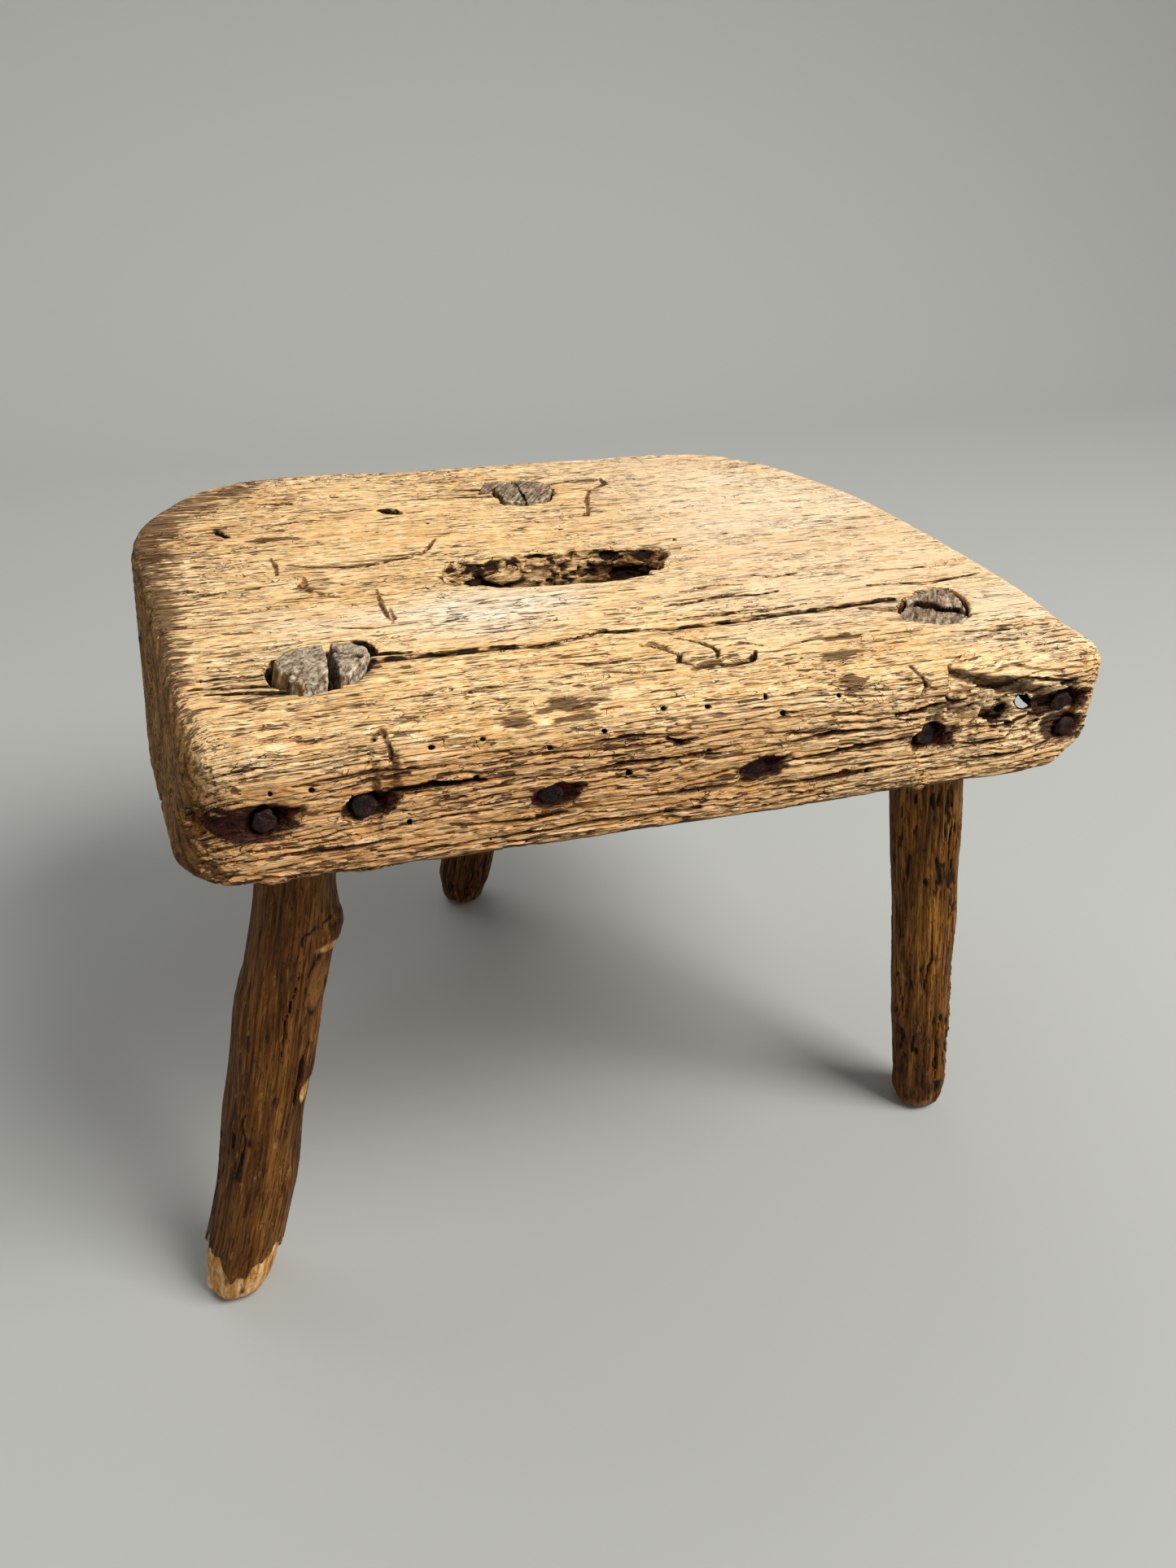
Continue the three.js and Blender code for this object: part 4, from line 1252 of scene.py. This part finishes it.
def build_nail(node, number, material):
    """A hand-made nail: a lumpy, rust-eaten head on a round shank that tapers to a point."""
    corners = cad_points(node)
    low, high = corners.min(0), corners.max(0)
    axis = int(np.argmax(high - low))
    others = [i for i in range(3) if i != axis]
    length = high[axis] - low[axis]
    middle = (low + high) / 2
    radius = (high - low)[others].max() / 2
    block = Block(low - 1.0, high + 1.0, np.full(3, 0.5) * COARSE)
    place = block.grid()
    along = place[axis] - low[axis]
    u, v = (place[i] - middle[i] for i in others)
    rho = np.hypot(u, v)
    seed = 400 + 5 * number
    lumps = noise(place[0] / 3.4, place[1] / 3.4, place[2] / 3.4, seed, 2)
    pits = 0.30 * noise(place[0] / 1.3, place[1] / 1.3, place[2] / 1.3, seed + 2, 2)
    turn = np.arctan2(v, u)
    outline = radius - 0.9 + 0.9 * noise(2.2 * np.cos(turn) + seed, 2.2 * np.sin(turn), 0 * u, seed + 3)
    face = 1.9 + 1.3 * lumps + 0.9 * ramp(rho, radius - 2.2, radius - 0.4)
    head = meet(rho - outline, np.maximum(face - along, along - 3.6), 0.5)
    taper = 2.0 * ramp(along, length, length - 9)
    shank = np.maximum(rho - taper, np.maximum(along - length + 0.5, 2.6 - along))
    block.field = (np.minimum(head, shank) + pits).astype(np.float32)
    points, faces = largest(*block.surface())
    far = np.hypot(*(points[:, others] - middle[others]).T)
    values = {"worn": ramp(far, radius - 2.5, radius - 0.8) * ramp(points[:, axis] - low[axis], 5, 3)}
    return make_piece("nail_iron_%d" % number, node, points, faces, material, values)


# ---- Materials ---------------------------------------------------------------------------------
def colour(code):
    """A linear colour from a hex code."""
    parts = [int(code[i:i + 2], 16) / 255 for i in (1, 3, 5)]
    return (*[c / 12.92 if c <= 0.04045 else ((c + 0.055) / 1.055) ** 2.4 for c in parts], 1.0)


class Finish:
    """A node material under construction."""

    def __init__(self, name, place=None):
        self.material = bpy.data.materials.new(name)
        self.material.use_nodes = True
        self.tree = self.material.node_tree
        self.shader = self.tree.nodes["Principled BSDF"]
        if place:
            self.place = self.put("ShaderNodeAttribute", attribute_name=place).outputs["Vector"]
        else:
            self.place = self.put("ShaderNodeTexCoord").outputs["Object"]

    def put(self, kind, inputs=(), **settings):
        node = self.tree.nodes.new(kind)
        for key, value in settings.items():
            setattr(node, key, value)
        for key, value in dict(inputs).items():
            self.feed(node.inputs[key], value)
        return node

    def feed(self, socket, value):
        """Links or sets a socket; a colour may be given as its hex code."""
        if isinstance(value, bpy.types.NodeSocket):
            self.tree.links.new(value, socket)
        else:
            socket.default_value = colour(value) if isinstance(value, str) else value

    def painted(self, name):
        return self.put("ShaderNodeAttribute", attribute_name=name).outputs["Fac"]

    def stretched(self, sizes, turn=0.0):
        """Object coordinates divided by sizes in millimetres, so a feature is one unit long."""
        scale = [size / MM for size in sizes]
        inputs = {"Vector": self.place, "Scale": scale, "Rotation": (0, 0, turn)}
        return self.put("ShaderNodeMapping", inputs, vector_type="TEXTURE").outputs["Vector"]

    def noise(self, sizes, detail=3.0, rough=0.55, warp=0.0, turn=0.0):
        node = self.put("ShaderNodeTexNoise", {
            "Vector": self.stretched(sizes, turn), "Scale": 1.0, "Detail": detail,
            "Roughness": rough, "Distortion": warp,
        })
        return node.outputs["Fac"]

    def ramp(self, value, low, high, start=0.0, end=1.0):
        node = self.put("ShaderNodeMapRange", {
            "Value": value, "From Min": low, "From Max": high, "To Min": start, "To Max": end,
        }, interpolation_type="SMOOTHSTEP")
        return node.outputs["Result"]

    def maths(self, operation, *values):
        return self.put("ShaderNodeMath", enumerate(values), operation=operation).outputs[0]

    def sum(self, *values):
        return functools.reduce(functools.partial(self.maths, "ADD"), values)

    def product(self, *values):
        return functools.reduce(functools.partial(self.maths, "MULTIPLY"), values)

    def line(self, value, half):
        """Thin lines along the places where a noise is in the middle of its range."""
        return self.ramp(self.maths("ABSOLUTE", self.maths("SUBTRACT", value, 0.5)), half, 0.0)

    def mix(self, share, first, second, kind="MIX"):
        node = self.put("ShaderNodeMix", data_type="RGBA", blend_type=kind)
        self.feed(node.inputs["Factor"], share)
        self.feed(node.inputs[6], first)
        self.feed(node.inputs[7], second)
        return node.outputs[2]

    def bands(self, value, stops):
        node = self.put("ShaderNodeValToRGB", {"Fac": value})
        ends = node.color_ramp.elements
        while len(ends) < len(stops):
            ends.new(0.5)
        for stop, (place, shade) in zip(ends, stops):
            stop.position = place
            stop.color = colour(shade)
        return node.outputs["Color"]

    def finished(self, base, rough, specular, relief, distance):
        """Connects everything; the relief stands out by its value times distance, in mm."""
        bump = self.put("ShaderNodeBump", {"Height": relief, "Distance": distance / MM, "Strength": 1.0})
        for key, value in (
            ("Base Color", base), ("Roughness", rough), ("Specular IOR Level", specular),
            ("Normal", bump.outputs["Normal"]),
        ):
            self.feed(self.shader.inputs[key], value)
        return self.material


def seat_wood(f, streak, fine, late):
    """The bare wood: honey bands, mottled, tan down the front edge, pale where broken, with a painted sheen
    where it is handled.
    """
    broad = f.noise((90, 40, 40), 2.0)
    base = f.bands(f.sum(f.product(streak, 0.65), f.product(broad, 0.35)), [
        (0.28, "#c4914f"), (0.39, "#dfb072"), (0.50, "#ecc48b"), (0.61, "#f4d19c"), (0.74, "#f9e2b8"),
    ])
    mottle = f.noise((5.0, 3.0, 3.0), 3.0, 0.65)
    base = f.mix(f.product(late, 0.15), base, "#b07b3e")
    base = f.mix(f.ramp(mottle, 0.50, 0.66, 0.0, 0.42), base, "#b9823f")
    base = f.mix(f.ramp(mottle, 0.46, 0.34, 0.0, 0.40), base, "#fbe7c2")
    base = f.mix(f.ramp(fine, 0.56, 0.70, 0.0, 0.42), base, "#8a5a24")
    base = f.mix(f.painted("tan"), base, "#e9d7c4", "MULTIPLY")
    # painted sheen: a dull pale glare on the right of the top, where the marks fade
    base = f.mix(f.product(f.painted("dull_painted_sheen"), f.ramp(streak, 0.3, 0.6, 0.3, 0.6)), base, "#dfc8a8")
    base = f.mix(f.product(f.painted("fresh"), 0.75), base, "#ffdba6")
    # painted reflection: a pale sheen where the top is polished
    return f.mix(f.product(f.painted("polish_and_painted_sheen"), f.ramp(streak, 0.3, 0.6, 0.35, 0.9)), base, "#efe2cc")


def seat_marks(f, blur):
    """The dark marks of torn fibres, partly painted shadow in the gaps under their layers, and the painted
    highlight on the pale lips beside them.
    """
    torn, frayed = f.painted("torn"), f.painted("frayed")
    layer = f.maths("FRACT", f.sum(f.painted("layer"), blur))
    hair = f.maths("FRACT", f.sum(f.painted("hair"), blur))
    # painted highlight on the lips of the torn layers
    lip_highlights = f.sum(f.product(f.ramp(layer, 0.30, 0.05), torn), f.product(f.ramp(hair, 0.3, 0.1), frayed, 0.5))
    # painted shadow in the gap under each torn layer
    gap_shadows = f.product(f.ramp(layer, 0.66, 0.88), torn)
    thin_gap_shadows = f.product(f.ramp(hair, 0.66, 0.86), frayed)
    patches = f.ramp(f.noise((50, 24, 24), 3.0), 0.40, 0.62)
    fleck = f.ramp(f.noise((8.0, 1.3, 1.3), 2.0, 0.5), 0.60, 0.63)
    few = f.ramp(f.noise((15, 2.2, 2.2), 2.0, 0.5), 0.635, 0.66)
    line = f.line(f.noise((30, 3.4, 3.4), 2.0, 0.5, 0.3), 0.016)
    wrinkle = f.line(f.noise((11, 5.0, 5.0), 2.0, 0.5, 0.6), 0.013)
    places = f.ramp(f.noise((26, 13, 13), 2.0), 0.50, 0.62)
    marks = f.sum(f.product(fleck, f.sum(f.product(patches, 0.7), 0.2)), f.product(few, 0.75))
    marks = f.sum(marks, f.product(line, f.sum(f.product(patches, 0.6), 0.2)))
    marks = f.sum(marks, f.product(wrinkle, places, 0.9), f.product(gap_shadows, 0.72))
    marks = f.sum(marks, f.product(thin_gap_shadows, 0.65), f.product(f.painted("flakes"), 0.35))
    marks = f.product(marks, f.ramp(f.painted("fresh"), 0.0, 1.0, 1.0, 0.55))
    return f.product(marks, f.ramp(f.painted("dull_painted_sheen"), 0.0, 1.0, 1.0, 0.68)), lip_highlights


def seat_end_colour(f, late):
    """The plank's ends: growth rings, pores and thin drying checks."""
    pores = f.noise((40, 2.6, 1.5), 4.0, 0.6)
    cloud = f.noise((60, 24, 9), 3.0)
    end_check = f.line(f.noise((40, 9.0, 30.0), 2.0, 0.5, 0.2), 0.012)
    pores = f.sum(f.product(pores, 0.45), f.product(cloud, 0.55))
    pores = f.sum(pores, f.product(late, -0.13), f.product(end_check, -0.25))
    return f.bands(pores, [(0.24, "#241204"), (0.45, "#6f4817"), (0.60, "#ab7c3a")])


def seat_material():
    """Honey-coloured softwood, greyed and handled, its torn fibres dark, partly with painted shadow in their
    gaps, painted shade in its cracks and underneath, old dirt on its left end and in stains, and a painted
    sheen where it is handled.
    """
    f = Finish("weathered_seat_wood")
    streak = f.noise((34, 2.4, 2.4), 4.0, 0.6, 0.2)
    fine = f.noise((12, 1.15, 1.15), 3.0, 0.6)
    turns = f.product(f.painted("rings"), 2 * math.pi / RING_PITCH)
    late = f.ramp(f.maths("SINE", turns), 0.1, 0.95)
    blur = f.product(f.sum(fine, -0.5), 0.5)
    marks, lip_highlights = seat_marks(f, blur)
    base = seat_wood(f, streak, fine, late)
    # painted highlight on the layers' lips
    base = f.mix(f.product(lip_highlights, 0.40), base, "#fae9c4")
    # dark marks of torn fibres, partly painted shadow in their gaps
    base = f.mix(f.ramp(marks, 0.1, 0.95, 0.0, 0.93), base, "#42210a")
    # old dirt, with painted shade underneath and low on the front face
    grime_and_shade = f.sum(f.painted("grime_and_shade"), f.product(f.sum(streak, -0.5), 2.2), f.product(f.sum(fine, -0.5), 2.0))
    base = f.mix(f.ramp(grime_and_shade, 0.42, 0.88, 0.0, 0.86), base, "#4a2b0c")
    end_grain = f.painted("end_grain")
    base = f.mix(f.product(end_grain, 0.85), base, seat_end_colour(f, late))
    rot_colour = f.bands(f.noise((7.0, 2.4, 2.2), 4.0, 0.62, 0.4), [
        (0.38, "#2a1608"), (0.46, "#7a5226"), (0.53, "#c99a5f"), (0.64, "#f0d4a4"),
    ])
    base = f.mix(f.painted("rot"), base, rot_colour)
    # painted shade in the cracks, hollows, slot and broken corner, darkest where deepest
    cavity = f.painted("cavity")
    base = f.mix(f.ramp(cavity, 0.03, 0.28, 0.0, 0.6), base, "#80501f")
    deep = f.ramp(f.sum(cavity, f.product(f.sum(fine, -0.5), 0.5)), 0.12, 0.64)
    base = f.mix(f.product(deep, 0.95), base, "#180b04")
    rust = f.sum(f.painted("rust"), f.product(f.sum(streak, -0.5), 1.2), f.product(blur, 1.2))
    rust_colour = f.bands(fine, [(0.35, "#110404"), (0.52, "#2e0f0b"), (0.7, "#5f2a1b")])
    base = f.mix(f.product(f.ramp(rust, 0.25, 0.75), 0.94), base, rust_colour)
    rough = f.sum(f.ramp(fine, 0.3, 0.7, 0.6, 0.76), f.product(f.painted("polish_and_painted_sheen"), -0.18))
    rough = f.sum(rough, f.product(deep, 0.15))
    relief = f.sum(f.product(marks, -1.2), f.product(streak, 0.9), f.product(fine, 0.8), f.product(lip_highlights, 0.5))
    relief = f.product(relief, f.ramp(end_grain, 0.0, 1.0, 1.0, 0.4))
    return f.finished(base, rough, 0.14, relief, 1.0)


def leg_material(name, dark, middle, light, fleck_share):
    """A stick with its bark long gone: streaked along its length, its cut places bare."""
    f = Finish(name, "grain")
    streak = f.noise((1.8, 1.8, 45), 4.0, 0.62, 0.1)
    broad = f.noise((13, 13, 60), 3.0)
    fine = f.noise((0.8, 0.8, 14), 3.0, 0.6)
    base = f.bands(f.sum(f.product(streak, 0.6), f.product(broad, 0.4)), [
        (0.36, dark), (0.50, middle), (0.64, light),
    ])
    base = f.mix(f.ramp(fine, 0.50, 0.66, 0.0, 0.65), base, "#1f0f04")
    base = f.mix(f.ramp(fine, 0.42, 0.30, 0.0, 0.35), base, "#a8743a")
    fleck = f.ramp(f.noise((1.3, 1.3, 9.0), 2.0, 0.5), 0.585, 0.64)
    patches = f.ramp(f.noise((10, 10, 34), 2.0), 0.38, 0.58)
    base = f.mix(f.product(fleck, f.sum(f.product(patches, fleck_share), 0.2)), base, "#170b04")
    worn = f.ramp(f.noise((3.5, 3.5, 8.0), 3.0, 0.6), 0.62, 0.72, 0.0, 0.3)
    base = f.mix(worn, base, "#b58d5c")
    # painted shade in the pits, cracks, split kerfs and low in the slivers
    cavity = f.painted("cavity")
    base = f.mix(f.ramp(cavity, 0.1, 0.7, 0.0, 0.93), base, "#140904")
    grain = f.noise((3.5, 3.5, 14), 4.0, 0.65)
    pale = f.bands(grain, [(0.34, "#8d5a24"), (0.48, "#cc9450"), (0.64, "#efca92")])
    base = f.mix(f.product(f.painted("bare"), f.ramp(fine, 0.35, 0.55, 0.85, 1.0)), base, pale)
    base = f.mix(f.product(f.painted("scar"), 0.75), base, "#7d5528")
    pores = f.noise((2.4, 2.4, 2.4), 4.0, 0.7)
    rays = f.noise((1.3, 12.0, 12.0), 3.0, 0.6, 0.0, -0.6)
    splits = f.line(f.noise((6.0, 6.0, 12.0), 2.0, 0.5, 0.5), 0.014)
    crown = f.bands(f.sum(f.product(pores, 0.35), f.product(rays, 0.65)), [
        (0.36, "#2f2219"), (0.45, "#6b5844"), (0.53, "#978169"), (0.66, "#d3c0a2"),
    ])
    crown = f.mix(f.product(splits, 0.9), crown, "#1d130b")
    base = f.mix(f.painted("crown"), base, crown)
    chips = f.bands(pores, [(0.38, "#4e3b27"), (0.47, "#a8957a"), (0.6, "#e6dcc8")])
    base = f.mix(f.product(f.painted("chipped"), 0.8), base, chips)
    sawn = f.bands(grain, [(0.34, "#2c1a05"), (0.48, "#6b4a14"), (0.64, "#a97c33")])
    base = f.mix(f.product(f.painted("cut_side"), 0.85), base, sawn)
    # painted shade low on the leg
    base = f.mix(f.painted("shade_low_down"), base, "#b09a78", "MULTIPLY")
    relief = f.sum(streak, f.product(fine, -0.9), f.product(fleck, -1.0), f.product(pores, 0.3))
    return f.finished(base, f.ramp(streak, 0.3, 0.7, 0.75, 0.5), 0.14, relief, 0.7)


def iron_material():
    """Wrought iron under old rust: nearly black, brown and red where it flakes."""
    f = Finish("old_rusty_iron")
    flake = f.noise((2.4, 2.4, 2.4), 5.0, 0.65)
    speck = f.noise((0.6, 0.6, 0.6), 3.0, 0.6)
    base = f.bands(flake, [
        (0.36, "#060303"), (0.48, "#160a08"), (0.58, "#2e120c"), (0.70, "#552618"),
    ])
    base = f.mix(f.ramp(speck, 0.58, 0.7, 0.0, 0.3), base, "#6b4434")
    base = f.mix(f.product(f.painted("worn"), f.ramp(speck, 0.4, 0.6, 0.1, 0.5)), base, "#4a2a20")
    f.feed(f.shader.inputs["Metallic"], f.ramp(speck, 0.62, 0.5, 0.0, 0.25))
    relief = f.sum(flake, f.product(speck, 0.5))
    return f.finished(base, f.ramp(flake, 0.35, 0.65, 0.45, 0.85), 0.3, relief, 0.6)


# ---- Floor, light and camera -------------------------------------------------------------------
def build_stage():
    """A plain pale floor that curves up into a plain backdrop."""
    half, back, rise, bend, steps = 4.0, 1.9, 3.2, 0.7, 16
    profile = [(-3.0, 0.0), (back - bend, 0.0)]
    for step in range(1, steps + 1):
        turn = math.pi / 2 * step / steps
        profile.append((back - bend + bend * math.sin(turn), bend - bend * math.cos(turn)))
    profile.append((back, rise))
    points = [(side, y, z) for y, z in profile for side in (-half, half)]
    faces = [(2 * i, 2 * i + 1, 2 * i + 3, 2 * i + 2) for i in range(len(profile) - 1)]
    mesh = bpy.data.meshes.new("studio_floor")
    mesh.from_pydata(points, [], faces)
    mesh.polygons.foreach_set("use_smooth", [True] * len(faces))
    floor = bpy.data.objects.new("studio_floor", mesh)
    bpy.context.scene.collection.objects.link(floor)
    f = Finish("pale_studio_floor")
    f.shader.inputs["Base Color"].default_value = colour("#a4a5a2")
    f.shader.inputs["Roughness"].default_value = 0.9
    mesh.materials.append(f.material)


def soft_light(name, place, aim, size, power, tint):
    lamp = bpy.data.lights.new(name, "AREA")
    lamp.shape = "RECTANGLE"
    lamp.size, lamp.size_y = size
    lamp.energy = power
    lamp.color = tint
    lamp_object = bpy.data.objects.new(name, lamp)
    bpy.context.scene.collection.objects.link(lamp_object)
    lamp_object.location = place
    direction = Vector(aim) - Vector(place)
    lamp_object.rotation_euler = direction.to_track_quat("-Z", "Y").to_euler()


def build_light():
    centre = (0.0, 0.0, 0.2)
    soft_light("window_key", (1.2, -1.2, 2.3), centre, (1.3, 1.3), 92.0, (1.0, 0.985, 0.96))
    soft_light("back_window", (-0.5, 1.5, 2.4), centre, (2.4, 1.2), 22.0, (1.0, 0.99, 0.98))
    world = bpy.data.worlds.new("studio")
    bpy.context.scene.world = world
    world.use_nodes = True
    background = world.node_tree.nodes["Background"]
    background.inputs["Color"].default_value = (1.0, 0.985, 0.96, 1.0)
    background.inputs["Strength"].default_value = 0.36
    bpy.context.scene.view_settings.view_transform = "Standard"


CAMERA = {"from_corner": (14.48, -352.03, 194.17), "yaw": 18.911, "pitch": 30.996, "roll": 1.776}
LENS = 36.597  # on a 36 mm wide sensor


def build_camera():
    """The photograph's viewpoint, given from the seat's front left top corner."""
    yaw, pitch, roll = (math.radians(CAMERA[key]) for key in ("yaw", "pitch", "roll"))
    right = Vector((math.cos(yaw), -math.sin(yaw), 0))
    ahead = Vector((math.sin(yaw), math.cos(yaw), 0))
    up = ahead * math.sin(pitch) + Vector((0, 0, math.cos(pitch)))
    forward = ahead * math.cos(pitch) - Vector((0, 0, math.sin(pitch)))
    camera_x = right * math.cos(roll) + up * math.sin(roll)
    camera_y = up * math.cos(roll) - right * math.sin(roll)
    camera = bpy.data.cameras.new("photo_view")
    camera.sensor_fit = "HORIZONTAL"
    camera.sensor_width = 36.0
    camera.lens = LENS
    camera.clip_start = 0.01
    holder = bpy.data.objects.new("photo_view", camera)
    bpy.context.scene.collection.objects.link(holder)
    turn = holder.matrix_world.to_3x3()
    turn.col[0], turn.col[1], turn.col[2] = camera_x, camera_y, -forward
    corner = Vector((*ORIGIN[:2], TOP)) + Vector(CAMERA["from_corner"])
    holder.rotation_euler = turn.to_euler()
    holder.location = corner / MM
    bpy.context.scene.camera = holder


build_camera()
build_stage()
build_light()
build_seat(seat_material())
LEG_TONES = {
    "leg_front_left": ("#2c1403", "#5c360f", "#855825", 0.3),
    "leg_front_right": ("#2c1503", "#6e4312", "#a5722c", 0.5),
    "leg_rear": ("#241003", "#4c2a0c", "#7c5224", 0.5),
}
for leg_name, tones in LEG_TONES.items():
    build_leg(leg_name, leg_material("wood_of_" + leg_name, *tones))
SLIVER_TONES = ("#2e2015", "#6d5740", "#a08a6c", 0.4)
sliver_wood = leg_material("split_wedge_wood", *SLIVER_TONES)
build_sliver("wedge_front", "wedge_front_left", 420, 0.3, 3.0, sliver_wood)
build_sliver("wedge_back", "wedge_rear", 424, 0.3, 1.5, sliver_wood)
build_sliver("shim_back", "shim_rear", 428, 0.5, 0.5, sliver_wood)
build_sliver("shim_right", "shim_front_right", 432, 0.4, 8.0, sliver_wood)
iron = iron_material()
for nail_number, nail_node in enumerate(sorted(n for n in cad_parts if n.startswith("nail_"))):
    build_nail(nail_node, nail_number, iron)
